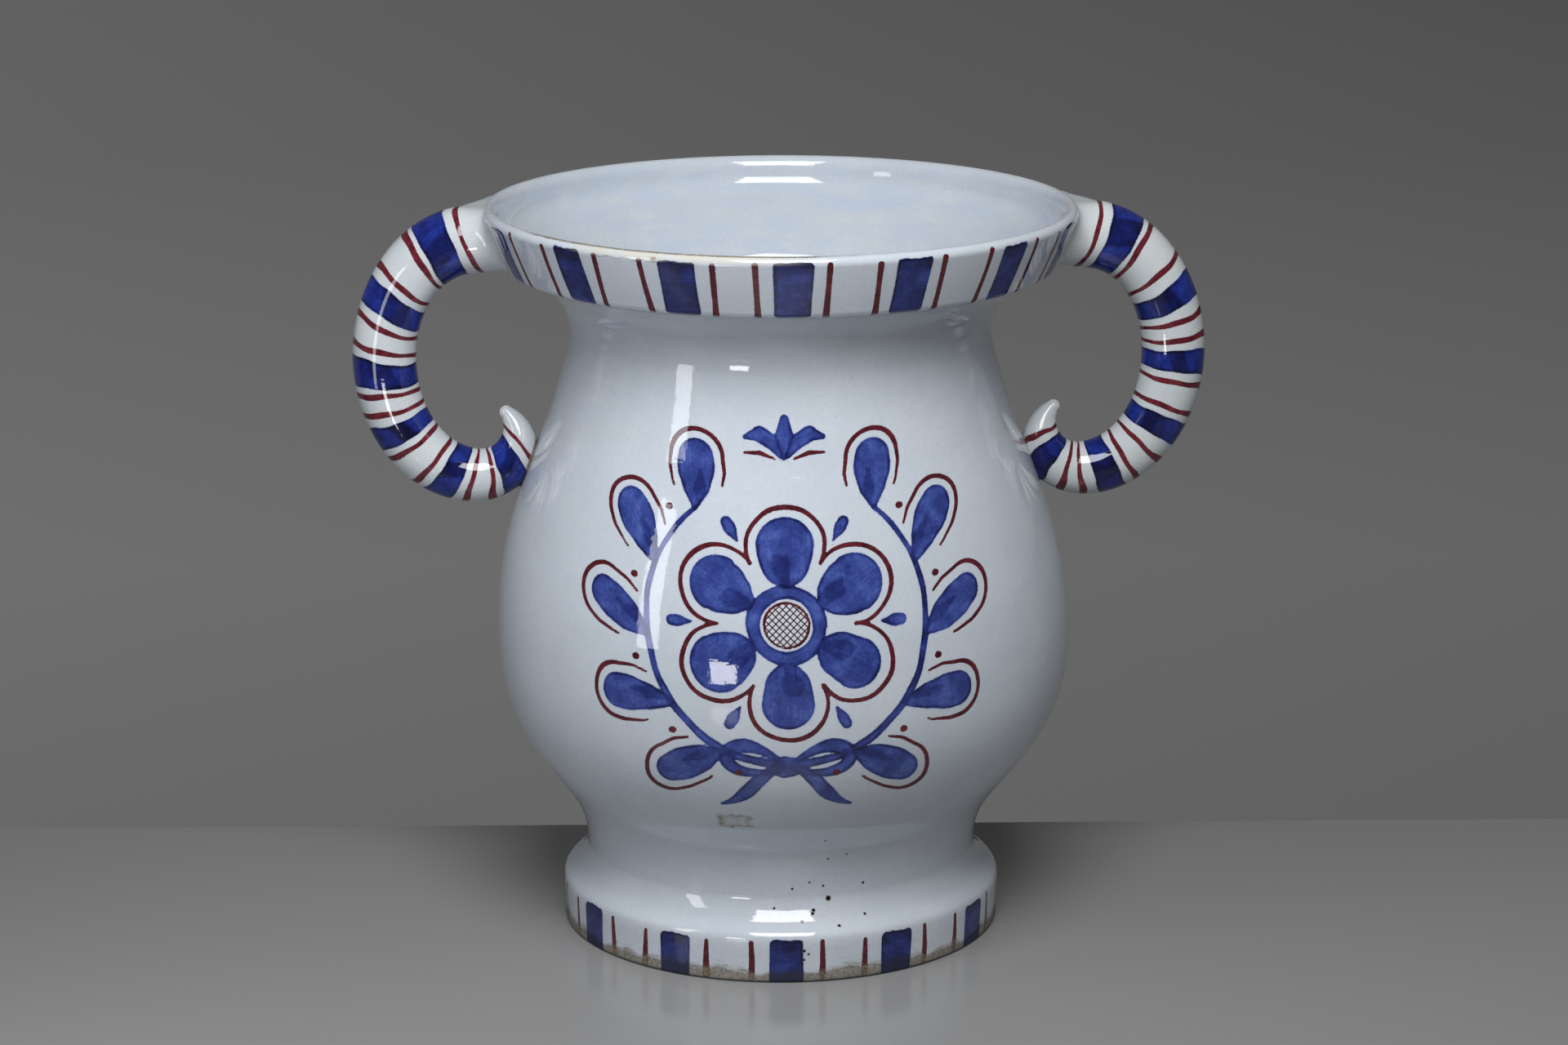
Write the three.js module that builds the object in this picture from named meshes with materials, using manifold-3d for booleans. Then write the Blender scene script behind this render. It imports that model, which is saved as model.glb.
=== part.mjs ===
// A floor vase of tin-glazed earthenware. Four thrown rings are stacked: a hollow foot, a round
// body with its floor, a neck, and a collar with a striped band and a round lip. Two handles spring
// from the collar, taper as they bend down, and curl up to rest on the shoulder of the body.
// Millimetres, +Z up. The origin is on the floor under the vase's axis, and the handles lie along X.
import * as THREE from 'three';
import { mergeVertices } from 'three/addons/utils/BufferGeometryUtils.js';
import Module from 'manifold-3d';

const wasm = await Module();
wasm.setup();

// Foot: a plain band that turns over a soft shoulder into the waist
const footHeight = 55;
const footRadius = 150;
const footBandHeight = 25;
const footBandSwell = 0.8;
const footShoulderRadius = 141.5;
const footShoulderDrop = 14.5;
const footShoulderSlope = THREE.MathUtils.degToRad(35);
const footShoulderSweep = 5;
const footBandSweep = 7.8;
const footWaistSweep = 7.2;
const footChamfer = 1.5;
const footRingWidth = 13;
const footWall = 13;
const footInsideDrop = 22;
const footInsideRise = 38.5;

// Body: waist, widest girth and the seam where the neck is luted on
const waistRadius = 134;
const girthRadius = 196;
const girthRise = 151;
const seamRadius = 160;
const seamRise = 144.5;
const seamLean = THREE.MathUtils.degToRad(23);
const waistSweep = 54;
const girthSweepDown = 92;
const girthSweepUp = 45;
const seamSweep = 66;
const floorThickness = 14;
const floorCorner = 14;

// Neck: from the seam to the throat, which is its narrowest place
const throatRadius = 142.5;
const throatRise = 62.5;
const neckSweep = 9;

// Collar: a cove under a leaning band, closed by a round lip
const coveRise = 49.6;
const coveSweep = 24;
const coveEdgeSweep = 19.7;
const coveEdgeSlope = THREE.MathUtils.degToRad(14.7);
const bandFootRadius = 186.6;
const bandEdgeRound = 5.5;
const bandEdgeSweep = 3.3;
const bandHeight = 36.4;
const rimRadius = 200;
const lipRadius = 4.6;
const lipStart = THREE.MathUtils.degToRad(-22.5);
const mouthSweep = 10.5;
const shelfDrop = 25;
const shelfWall = 11.6;
const shelfSlope = THREE.MathUtils.degToRad(-30);
const shelfSweepUp = 7.6;
const shelfSweepDown = 15;
const throatFlare = 31;

// Wall of the body, neck and collar
const wall = 10;

// Handles: a half ring that bends down from the band, then a curl whose tip stands free
const handleTopDrop = 23;
const handleRun = 4.7;
const handleReach = 88.5;
const handleDrop = 162;
const rootDip = 1.2;
const rootHalfHeight = 22;
const rootHalfWidth = 27;
const rootFlareEase = 2;
const topRadius = 23.2;
const sideRadius = 21.8;
const underRadius = 18;
const archEase = 1.5;
const curlWidth = 27;
const curlHeight = 25.5;
const curlTurn = THREE.MathUtils.degToRad(134);
const curlEase = 1.6;
const seatRadius = 12.4;
const seatStandoff = 13.6;
const tipRadius = 4.8;

// Fits, and the number of flat faces that each curve is cut into
const lutingGap = 0.3;
const facesRound = 60;
const footSteps = 4;
const footInsideSteps = 5;
const lowerBodySteps = 10;
const upperBodySteps = 9;
const floorCornerSteps = 4;
const neckSteps = 5;
const coveSteps = 6;
const edgeSteps = 3;
const lipSteps = 8;
const mouthSteps = 5;
const shelfSteps = 6;
const handleSides = 14;
const rootRings = 3;
const archRings = 20;
const curlRings = 11;
const tipRings = 3;

// Heights of the seams and edges above the floor
const waistZ = footHeight;
const girthZ = waistZ + girthRise;
const seamZ = girthZ + seamRise;
const throatZ = seamZ + throatRise;
const bandZ = throatZ + coveRise;
const rimZ = bandZ + bandHeight;
const floorZ = waistZ + floorThickness;

const at = (x, y) => new THREE.Vector2(x, y);

// A cubic curve through the first and last point, cut into equal steps of its parameter
function sweep(steps, start, startArm, endArm, end) {
  return new THREE.CubicBezierCurve(start, startArm, endArm, end).getPoints(steps);
}

// A step of a given length, at a slope above the level and towards the axis
function inward(slope, length) {
  return at(-Math.cos(slope) * length, Math.sin(slope) * length);
}

// Outer outlines, each a list of (radius, height) from the bottom up
const seam = at(seamRadius, seamZ);
const footBand = [
  at(footRadius - footChamfer, 0),
  at(footRadius, footChamfer),
  at(footRadius + footBandSwell, footBandHeight),
];
const footBandTop = footBand[footBand.length - 1];
const footShoulder = at(footShoulderRadius, footHeight - footShoulderDrop);
const shoulderArm = inward(footShoulderSlope, footShoulderSweep);
const footOutline = [
  ...footBand,
  ...sweep(footSteps, footBandTop, at(footBandTop.x, footBandHeight + footBandSweep),
    footShoulder.clone().sub(shoulderArm), footShoulder).slice(1),
  ...sweep(footSteps, footShoulder, footShoulder.clone().add(shoulderArm),
    at(waistRadius, waistZ - footWaistSweep), at(waistRadius, waistZ)).slice(1),
];
const seamSlope = Math.PI / 2 - seamLean;
const bodyOutline = [
  ...sweep(lowerBodySteps, at(waistRadius, waistZ), at(waistRadius, waistZ + waistSweep),
    at(girthRadius, girthZ - girthSweepDown), at(girthRadius, girthZ)),
  ...sweep(upperBodySteps, at(girthRadius, girthZ), at(girthRadius, girthZ + girthSweepUp),
    seam.clone().sub(inward(seamSlope, seamSweep)), seam).slice(1),
];
const neckOutline = sweep(neckSteps, seam, seam.clone().add(inward(seamSlope, neckSweep)),
  at(throatRadius, throatZ - neckSweep), at(throatRadius, throatZ));

// The collar's lip is a round bead, which the leaning band runs into without a crease
const lipCentre = at(rimRadius - lipRadius, rimZ - lipRadius);
function lipArc() {
  const points = [];
  for (let i = 0; i <= lipSteps; i += 1) {
    const angle = THREE.MathUtils.lerp(lipStart, Math.PI, i / lipSteps);
    points.push(at(lipCentre.x + lipRadius * Math.cos(angle), lipCentre.y + lipRadius * Math.sin(angle)));
  }
  return points;
}
const coveEdge = at(bandFootRadius - bandEdgeRound, bandZ - bandEdgeRound);
const coveOutline = sweep(coveSteps, at(throatRadius, throatZ), at(throatRadius, throatZ + coveSweep),
  coveEdge.clone().add(inward(-coveEdgeSlope, coveEdgeSweep)),
  coveEdge);

// The cove's rim turns up into the leaning band in a soft round
const bandFoot = at(bandFootRadius, bandZ);
const bandLean = lipArc()[0].sub(bandFoot).setLength(bandEdgeSweep);
const edgeOutline = sweep(edgeSteps, coveEdge, coveEdge.clone().sub(inward(-coveEdgeSlope, bandEdgeSweep)),
  bandFoot.clone().sub(bandLean), bandFoot);
const collarOutline = [...coveOutline, ...edgeOutline.slice(1), ...lipArc()];

// Radius of the vase's outside at a height, read off the outlines
const outside = [...footOutline, ...bodyOutline.slice(1), ...neckOutline.slice(1), ...collarOutline.slice(1)];
function radiusAt(z) {
  const i = outside.findIndex((p) => p.y >= z);
  const low = outside[i - 1];
  const high = outside[i];
  return low.x + (high.x - low.x) * (z - low.y) / (high.y - low.y);
}

// Slope of an outline at one of its points, as horizontal travel per unit of height
function slopeAt(outline, i) {
  const below = outline[Math.max(i - 1, 0)];
  const above = outline[Math.min(i + 1, outline.length - 1)];
  return (above.x - below.x) / (above.y - below.y);
}

// The inside of a wall of even thickness, measured square to the outline and listed from the top down
function insideOf(outline, slopes) {
  return outline.map((p, i) => at(p.x - wall * Math.hypot(1, slopes[i]), p.y)).reverse();
}

const bodySlopes = bodyOutline.map((p, i) => slopeAt(bodyOutline, i));
bodySlopes[bodySlopes.length - 1] = -Math.tan(seamLean);
const neckSlopes = neckOutline.map((p, i) => slopeAt(neckOutline, i));
neckSlopes[0] = -Math.tan(seamLean);
neckSlopes[neckSlopes.length - 1] = 0;

// Removes repeated corners and faces without area, so that the mesh is one closed skin
function weld(geometry) {
  geometry.deleteAttribute('normal');
  geometry.deleteAttribute('uv');
  const welded = mergeVertices(geometry, 1e-4);
  const index = Array.from(welded.index.array);
  const kept = [];
  for (let i = 0; i < index.length; i += 3) {
    const [a, b, c] = index.slice(i, i + 3);
    if (a !== b && b !== c && c !== a) kept.push(a, b, c);
  }
  welded.setIndex(kept);
  return welded;
}

// Turns an outline round the vase's axis. The outline runs up the outside and down the inside
function revolve(outline) {
  const geometry = new THREE.LatheGeometry(outline, facesRound);
  geometry.rotateX(Math.PI / 2);
  return weld(geometry);
}

// Foot: open below, with a flat ring to stand on and a flat top that carries the body's floor
function makeFoot() {
  const ringInside = footRadius - footChamfer - footRingWidth;
  const topInside = waistRadius - footWall;
  const inside = sweep(footInsideSteps, at(topInside, waistZ), at(topInside, waistZ - footInsideDrop),
    at(ringInside, footInsideRise), at(ringInside, 0));
  return revolve([...footOutline, ...inside, footOutline[0]]);
}

// Body: a bowl whose wall rises from a flat floor over a rounded inner corner
function makeBody() {
  const cornerZ = floorZ + floorCorner;
  const inside = insideOf(bodyOutline, bodySlopes).filter((p) => p.y > cornerZ);
  const last = inside[inside.length - 1];
  const before = inside[inside.length - 2];
  const lean = (before.x - last.x) / (before.y - last.y);
  const foot = at(last.x - lean * (last.y - floorZ), floorZ);
  const corner = new THREE.QuadraticBezierCurve(last, foot, at(foot.x - floorCorner, floorZ))
    .getPoints(floorCornerSteps);
  return revolve([at(0, waistZ), ...bodyOutline, ...inside, ...corner.slice(1), at(0, floorZ)]);
}

function makeNeck() {
  return revolve([...neckOutline, ...insideOf(neckOutline, neckSlopes), neckOutline[0]]);
}

// Collar: inside, a steep mouth wall rounds into a shelf that slopes down into the throat
function makeCollar() {
  const shelfZ = rimZ - shelfDrop;
  const shelf = at(radiusAt(shelfZ) - shelfWall, shelfZ);
  const lipEnd = collarOutline[collarOutline.length - 1];
  const throat = at(throatRadius - wall, throatZ);
  const inside = [
    ...sweep(mouthSteps, lipEnd, at(lipEnd.x, lipEnd.y - mouthSweep),
      shelf.clone().sub(inward(shelfSlope, shelfSweepUp)), shelf).slice(1),
    ...sweep(shelfSteps, shelf, shelf.clone().add(inward(shelfSlope, shelfSweepDown)),
      at(throat.x, throat.y + throatFlare), throat).slice(1),
  ];
  return revolve([...collarOutline, ...inside, collarOutline[0]]);
}

// The handle's middle line and section: each ring has a place, a direction and two half sizes.
// The places lie in the XZ plane, and the ring's second half size is its reach to either side.
function handleRings() {
  const topX = rimRadius + handleRun;
  const topZ = rimZ - handleTopDrop;
  const outX = rimRadius + handleReach - sideRadius;
  const underZ = topZ - handleDrop;
  const curlZ = underZ + curlHeight;
  const curlX = radiusAt(curlZ) + seatStandoff + curlWidth;
  const midZ = (topZ + underZ) / 2;
  const rings = [];

  const rootX = bandFootRadius;
  for (let i = 0; i < rootRings; i += 1) {
    const t = i / rootRings;
    rings.push({
      x: THREE.MathUtils.lerp(rootX, topX, t),
      z: topZ - rootDip * (1 - t),
      direction: 0,
      tall: THREE.MathUtils.lerp(rootHalfHeight, topRadius, t),
      wide: topRadius + (rootHalfWidth - topRadius) * (1 - t) ** rootFlareEase,
    });
  }

  for (let i = 0; i <= archRings; i += 1) {
    const angle = (i / archRings) * Math.PI;
    const upper = angle < Math.PI / 2;
    const centreX = upper ? topX : curlX;
    const spanX = outX - centreX;
    const spanZ = (topZ - underZ) / 2;
    const t = upper ? Math.sin(angle) : (angle / (Math.PI / 2) - 1) ** archEase;
    const radius = upper
      ? THREE.MathUtils.lerp(topRadius, sideRadius, t)
      : THREE.MathUtils.lerp(sideRadius, underRadius, t);
    rings.push({
      x: centreX + spanX * Math.sin(angle),
      z: midZ + spanZ * Math.cos(angle),
      direction: Math.atan2(-spanZ * Math.sin(angle), spanX * Math.cos(angle)),
      tall: radius,
      wide: radius,
    });
  }

  for (let i = 1; i <= curlRings; i += 1) {
    const angle = (i / curlRings) * curlTurn;
    const seated = Math.min(angle / (Math.PI / 2), 1);
    const free = Math.max(angle - Math.PI / 2, 0) / (curlTurn - Math.PI / 2);
    const radius = underRadius + (seatRadius - underRadius) * seated ** curlEase
      + (tipRadius - seatRadius) * free;
    rings.push({
      x: curlX - curlWidth * Math.sin(angle),
      z: curlZ - curlHeight * Math.cos(angle),
      direction: Math.atan2(curlHeight * Math.sin(angle), -curlWidth * Math.cos(angle)),
      tall: radius,
      wide: radius,
    });
  }

  // A round end closes the tip
  const end = rings[rings.length - 1];
  for (let i = 1; i < tipRings; i += 1) {
    const angle = (i / tipRings) * (Math.PI / 2);
    rings.push({
      x: end.x + Math.cos(end.direction) * tipRadius * Math.sin(angle),
      z: end.z + Math.sin(end.direction) * tipRadius * Math.sin(angle),
      direction: end.direction,
      tall: tipRadius * Math.cos(angle),
      wide: tipRadius * Math.cos(angle),
    });
  }
  return rings;
}

// Skins the rings into one closed tube with a fan over each end
function loft(rings) {
  const positions = [];
  for (const ring of rings) {
    for (let side = 0; side < handleSides; side += 1) {
      const angle = (side / handleSides) * Math.PI * 2;
      const rise = ring.tall * Math.cos(angle);
      positions.push(ring.x - Math.sin(ring.direction) * rise, ring.wide * Math.sin(angle),
        ring.z + Math.cos(ring.direction) * rise);
    }
  }
  const first = rings[0];
  const last = rings[rings.length - 1];
  const poleReach = tipRadius * (1 - Math.cos(Math.PI / 2 / tipRings));
  const startPole = positions.length / 3;
  const endPole = startPole + 1;
  positions.push(first.x, 0, first.z);
  positions.push(last.x + Math.cos(last.direction) * poleReach, 0, last.z + Math.sin(last.direction) * poleReach);

  const index = [];
  for (let i = 0; i < rings.length - 1; i += 1) {
    for (let side = 0; side < handleSides; side += 1) {
      const next = (side + 1) % handleSides;
      const a = i * handleSides + side;
      const b = i * handleSides + next;
      index.push(a, a + handleSides, b, b, a + handleSides, b + handleSides);
    }
  }
  const lastRing = (rings.length - 1) * handleSides;
  for (let side = 0; side < handleSides; side += 1) {
    const next = (side + 1) % handleSides;
    index.push(startPole, side, next);
    index.push(endPole, lastRing + next, lastRing + side);
  }
  const geometry = new THREE.BufferGeometry();
  geometry.setAttribute('position', new THREE.Float32BufferAttribute(positions, 3));
  geometry.setIndex(index);
  return geometry;
}

function toManifold(geometry) {
  return new wasm.Manifold(new wasm.Mesh({
    numProp: 3,
    vertProperties: new Float32Array(geometry.attributes.position.array),
    triVerts: new Uint32Array(geometry.index.array),
  }));
}

function fromManifold(solid) {
  const mesh = solid.getMesh();
  const geometry = new THREE.BufferGeometry();
  geometry.setAttribute('position', new THREE.BufferAttribute(mesh.vertProperties, 3));
  geometry.setIndex(new THREE.BufferAttribute(mesh.triVerts, 1));
  return geometry;
}

// The vase's outside up to the crest of its lip, filled to the axis and grown by the luting gap.
// It shapes the handles' seats
function seatTool() {
  const grown = outside.map((p, i) => {
    const below = outside[Math.max(i - 1, 0)];
    const above = outside[Math.min(i + 1, outside.length - 1)];
    const along = above.clone().sub(below).normalize();
    return at(p.x + along.y * lutingGap, p.y - along.x * lutingGap);
  }).filter((p) => p.x > lipCentre.x || p.y < lipCentre.y);
  return toManifold(revolve([at(0, -lutingGap), ...grown, at(0, rimZ + lutingGap)]));
}

// One handle on the +X side, trimmed where its root meets the band and its curl meets the shoulder
const handleSolid = fromManifold(toManifold(loft(handleRings())).subtract(seatTool()));

function glaze(colour) {
  return new THREE.MeshStandardMaterial({ color: colour, roughness: 0.12, metalness: 0 });
}

function piece(name, geometry, colour) {
  const mesh = new THREE.Mesh(geometry, glaze(colour));
  mesh.name = name;
  return mesh;
}

const bluishWhite = 0xc3cbd6;
const warmWhite = 0xc9cdca;

const vase = new THREE.Group();
vase.add(
  piece('foot', makeFoot(), bluishWhite),
  piece('body', makeBody(), bluishWhite),
  piece('neck', makeNeck(), bluishWhite),
  piece('collar', makeCollar(), bluishWhite),
);

const rightHandle = piece('handle_right', handleSolid, warmWhite);
const leftHandle = piece('handle_left', handleSolid.clone(), warmWhite);
leftHandle.rotation.z = Math.PI;
vase.add(rightHandle, leftHandle);

export default vase;
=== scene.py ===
"""A floor vase of tin-glazed earthenware, painted by hand in cobalt blue and a red brown.

The foot, body, neck and collar are thrown and luted together, and two pulled handles spring from the
collar and curl up against the shoulder. Sizes are millimetres until a mesh is made. +Z is up, the
handles lie along X, and an azimuth is counted from -Y, where the painted side faces, towards +X.
"""
import math
from functools import partial

import bpy
import numpy as np
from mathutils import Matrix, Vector


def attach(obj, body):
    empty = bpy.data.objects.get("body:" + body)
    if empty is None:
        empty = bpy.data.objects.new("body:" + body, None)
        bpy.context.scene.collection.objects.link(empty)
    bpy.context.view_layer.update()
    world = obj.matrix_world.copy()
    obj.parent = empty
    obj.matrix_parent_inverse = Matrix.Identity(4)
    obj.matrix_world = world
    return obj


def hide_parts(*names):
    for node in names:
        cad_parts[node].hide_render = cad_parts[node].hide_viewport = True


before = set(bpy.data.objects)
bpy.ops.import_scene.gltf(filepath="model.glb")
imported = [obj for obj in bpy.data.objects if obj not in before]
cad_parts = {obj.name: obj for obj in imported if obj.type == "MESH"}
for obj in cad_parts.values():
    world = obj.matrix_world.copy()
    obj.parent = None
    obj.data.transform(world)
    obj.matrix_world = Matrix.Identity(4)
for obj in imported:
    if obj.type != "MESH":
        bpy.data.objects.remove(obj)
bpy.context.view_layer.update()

MM = 0.001

# Foot
FOOT_HEIGHT = 55.0
FOOT_RADIUS = 150.0
FOOT_BAND_HEIGHT = 25.0
FOOT_BAND_SWELL = 0.8
FOOT_SHOULDER_RADIUS = 143.8
FOOT_SHOULDER_DROP = 16.7
FOOT_SHOULDER_SLOPE = math.radians(37.4)
FOOT_SHOULDER_SWEEP_DOWN = 8.5
FOOT_SHOULDER_SWEEP_UP = 6.1
FOOT_BAND_SWEEP = 8.1
FOOT_WAIST_SWEEP = 4.0
FOOT_CHAMFER = 1.5
FOOT_RING_WIDTH = 13.0
FOOT_WALL = 13.0
FOOT_INSIDE_DROP = 22.0
FOOT_INSIDE_RISE = 38.5

# Body and neck
WAIST_RADIUS = 134.0
GIRTH_RADIUS = 196.0
GIRTH_RISE = 151.0
SEAM_RADIUS = 160.0
SEAM_RISE = 144.5
SEAM_SLOPE = math.radians(68)
WAIST_SWEEP = 54.0
GIRTH_SWEEP_DOWN = 92.0
GIRTH_SWEEP_UP = 50.0
SEAM_SWEEP = 66.0
FLOOR_THICKNESS = 14.0
FLOOR_CORNER = 14.0
THROAT_RADIUS = 142.5
THROAT_RISE = 62.5
NECK_SWEEP = 9.0
WALL = 10.0

# Collar
COVE_RISE = 49.6
COVE_SWEEP = 24.0
COVE_EDGE_SWEEP = 19.7
COVE_EDGE_SLOPE = math.radians(14.7)
BAND_FOOT_RADIUS = 186.6
BAND_EDGE_ROUND = 5.5
BAND_EDGE_SWEEP = 3.3
BAND_BULGE = 0.4
BAND_HEIGHT = 36.4
RIM_RADIUS = 199.9
LIP_RADIUS = 4.6
LIP_START = math.radians(-22.5)
LIP_END = math.radians(136)
MOUTH_SWEEP = 9.6
SHELF_DROP = 23.7
SHELF_WALL = 10.7
SHELF_SLOPE = math.radians(-40.8)
SHELF_SWEEP_UP = 15.3
SHELF_SWEEP_DOWN = 18.3
THROAT_FLARE = 29.6

# Handles
HANDLE_TOP_DROP = 23.0
HANDLE_RUN = 4.8
HANDLE_REACH = 88.4
HANDLE_DROP = 162.0
ROOT_DIP = 1.2
TOP_RADIUS = 23.2
SIDE_RADIUS = 21.6
UNDER_RADIUS = 18.0
ARCH_EASE = 1.5
CURL_WIDTH = 27.0
CURL_HEIGHT = 25.5
CURL_TURN = math.radians(134)
CURL_EASE = 1.6
SEAT_RADIUS = 12.4
SEAT_STANDOFF = 13.6
TIP_RADIUS = 4.8
SKIRT_RUN = 27.0
SKIRT_MIDDLE = 22.9
SKIRT_UP = 27.2
SKIRT_DOWN = 26.0
SKIRT_HALF_WIDTH = 31.0
SKIRT_TURN = 6.5
SKIRT_SQUARE = 0.62
SKIRT_UNDER_LIP = 0.4
SKIRT_OUT = 0.3
SKIRT_SINK = 0.25

# The web of slip that fills the angle between a root and the lip, on the side away from the painting
WEB_REACH = 20.0
WEB_RUN = 14.0
WEB_UP = 5.0
WEB_OUT = 5.0
WEB_BULGE = 3.0
WEB_FILL = 0.6
WEB_UNDER_LIP = 0.3

# The hollow under a root, and how deep its end is sunk in the collar
UNDER_OUT = 2.2
UNDER_LIFT = 1.8
ROOT_SINKS = (3.0, 1.2)

# Where the curl meets the shoulder, and how it spreads there
CURL_LOW = 285.0
CURL_TOP = 365.0
CURL_START = 240.0
CURL_REACH = 205.0
CURL_NEAR = 130.0
CURL_ASIDE = 40.0
SEAT_SPREAD = 1.7
SEAT_EASE = 1.6

# How the potter's hand shows: the round and the pulled tubes are a little uneven, and the belly leans
UNEVENNESS = 0.22
HAND_PULL = 0.004
BELLY_LEAN = 2.2
BELLY_LEAN_HEIGHT = 195.0
BELLY_LEAN_SPREAD = 50.0

# Fineness of the meshes
CURVE_STEPS = 160
PAINT_STEP = 1.4
BAND_STEP = 1.4
PLAIN_STEP = 4.0
EDGE_STEP = 0.15
LIP_STEP = 0.8
COVE_STEP = 3.0
MOUTH_STEP = 3.0
INSIDE_STEP = 6.0
HANDLE_SIDES = 84
HANDLE_STEP = 1.2
SKIRT_STEPS = 18
TIP_RINGS = 8
SMOOTH_UNDER = math.radians(38)

# Heights
WAIST_Z = FOOT_HEIGHT
GIRTH_Z = WAIST_Z + GIRTH_RISE
SEAM_Z = GIRTH_Z + SEAM_RISE
THROAT_Z = SEAM_Z + THROAT_RISE
BAND_Z = THROAT_Z + COVE_RISE
RIM_Z = BAND_Z + BAND_HEIGHT
FLOOR_Z = WAIST_Z + FLOOR_THICKNESS

# Paint: a distance that is farther than any brush reaches, and coats of blue from 0, a thin wash, to 1
FAR = 9.0
BAR_COAT = 0.34
OVERLAP_COAT = 0.22

# A bar's second stroke starts this far in from its side, and its pool of colour this far under its top
SECOND_STROKE = 3.6
POOL_LOW = 10.0
POOL_FULL = 6.0

# How far apart the brush marks of two strokes lie in the pattern of hairs
STROKES_APART = 37
BARS_APART = 61
rng = np.random.default_rng(41)


def at(x, y):
    """A point of an outline (radius, height), or of the unrolled wall (right, up)."""
    return np.array((x, y), float)


def inward(slope, length):
    """A step of a given length, at a slope above the level and towards the axis."""
    return at(-math.cos(slope) * length, math.sin(slope) * length)


def sweep(start, start_arm, end_arm, end, steps=CURVE_STEPS):
    """A cubic curve as a list of points."""
    t = np.linspace(0, 1, steps + 1)[:, None]
    back = 1 - t
    return back ** 3 * start + 3 * back ** 2 * t * start_arm + 3 * back * t ** 2 * end_arm + t ** 3 * end


def wrapped(angle):
    """The same angle between minus and plus half a turn."""
    return (angle + math.pi) % (2 * math.pi) - math.pi


def arc(centre, radius, start, end, steps=CURVE_STEPS):
    """A round stretch as a list of points."""
    angle = np.linspace(start, end, steps + 1)
    return np.stack((centre[0] + radius * np.cos(angle), centre[1] + radius * np.sin(angle)), 1)


def travelled(line):
    """Distance along a line at each of its points."""
    return np.concatenate(([0], np.cumsum(np.hypot(*np.diff(line, axis=0).T))))


def walk(line, spacing, tight=False):
    """The same line with evenly spaced points. Tight ends keep the shading true where two pieces meet."""
    far = travelled(line)
    places = np.linspace(0, far[-1], max(2, math.ceil(far[-1] / spacing) + 1))
    if tight:
        places = np.sort(np.concatenate((places, (EDGE_STEP, far[-1] - EDGE_STEP))))
    return np.stack([np.interp(places, far, line[:, k]) for k in (0, 1)], 1)


# Outlines of the outside, each a list of (radius, height) from the bottom up
seam = at(SEAM_RADIUS, SEAM_Z)
foot_band_top = at(FOOT_RADIUS + FOOT_BAND_SWELL, FOOT_BAND_HEIGHT)
foot_shoulder = at(FOOT_SHOULDER_RADIUS, FOOT_HEIGHT - FOOT_SHOULDER_DROP)
foot_line = np.vstack((
    [at(FOOT_RADIUS - FOOT_CHAMFER, 0), at(FOOT_RADIUS, FOOT_CHAMFER)],
    sweep(foot_band_top, foot_band_top + at(0, FOOT_BAND_SWEEP),
          foot_shoulder - inward(FOOT_SHOULDER_SLOPE, FOOT_SHOULDER_SWEEP_DOWN), foot_shoulder),
    sweep(foot_shoulder, foot_shoulder + inward(FOOT_SHOULDER_SLOPE, FOOT_SHOULDER_SWEEP_UP),
          at(WAIST_RADIUS, WAIST_Z - FOOT_WAIST_SWEEP), at(WAIST_RADIUS, WAIST_Z))[1:],
))
body_line = np.vstack((
    sweep(at(WAIST_RADIUS, WAIST_Z), at(WAIST_RADIUS, WAIST_Z + WAIST_SWEEP),
          at(GIRTH_RADIUS, GIRTH_Z - GIRTH_SWEEP_DOWN), at(GIRTH_RADIUS, GIRTH_Z)),
    sweep(at(GIRTH_RADIUS, GIRTH_Z), at(GIRTH_RADIUS, GIRTH_Z + GIRTH_SWEEP_UP),
          seam - inward(SEAM_SLOPE, SEAM_SWEEP), seam)[1:],
))
neck_line = sweep(seam, seam + inward(SEAM_SLOPE, NECK_SWEEP), at(THROAT_RADIUS, THROAT_Z - NECK_SWEEP),
                  at(THROAT_RADIUS, THROAT_Z))

# The collar: cove, rounded lower edge, leaning band and round lip
cove_edge = at(BAND_FOOT_RADIUS - BAND_EDGE_ROUND, BAND_Z - BAND_EDGE_ROUND)
lip_centre = at(RIM_RADIUS - LIP_RADIUS, RIM_Z - LIP_RADIUS)
lip_line = arc(lip_centre, LIP_RADIUS, LIP_START, LIP_END)
band_foot = at(BAND_FOOT_RADIUS, BAND_Z)
band_lean = (lip_line[0] - band_foot) / np.hypot(*(lip_line[0] - band_foot))
cove_line = sweep(at(THROAT_RADIUS, THROAT_Z), at(THROAT_RADIUS, THROAT_Z + COVE_SWEEP),
                  cove_edge + inward(-COVE_EDGE_SLOPE, COVE_EDGE_SWEEP), cove_edge)
edge_line = sweep(cove_edge, cove_edge - inward(-COVE_EDGE_SLOPE, BAND_EDGE_SWEEP),
                  band_foot - band_lean * BAND_EDGE_SWEEP, band_foot)
band_across = at(band_lean[1], -band_lean[0])
band_steps = np.linspace(0, 1, 30)[:, None]
band_line = band_foot + (lip_line[0] - band_foot) * band_steps
band_line += band_across * BAND_BULGE * 4 * band_steps * (1 - band_steps)
collar_line = np.vstack((cove_line, edge_line[1:], band_line[1:], lip_line[1:]))
shelf_z = RIM_Z - SHELF_DROP
shelf_radius = band_foot[0] + band_lean[0] / band_lean[1] * (shelf_z - BAND_Z) - SHELF_WALL
shelf = at(shelf_radius, shelf_z)
throat_inside = at(THROAT_RADIUS - WALL, THROAT_Z)
mouth_line = np.vstack((
    sweep(lip_line[-1], lip_line[-1] + inward(math.pi / 2 - LIP_END, MOUTH_SWEEP),
          shelf - inward(SHELF_SLOPE, SHELF_SWEEP_UP), shelf),
    sweep(shelf, shelf + inward(SHELF_SLOPE, SHELF_SWEEP_DOWN), throat_inside + at(0, THROAT_FLARE),
          throat_inside)[1:],
))

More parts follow.
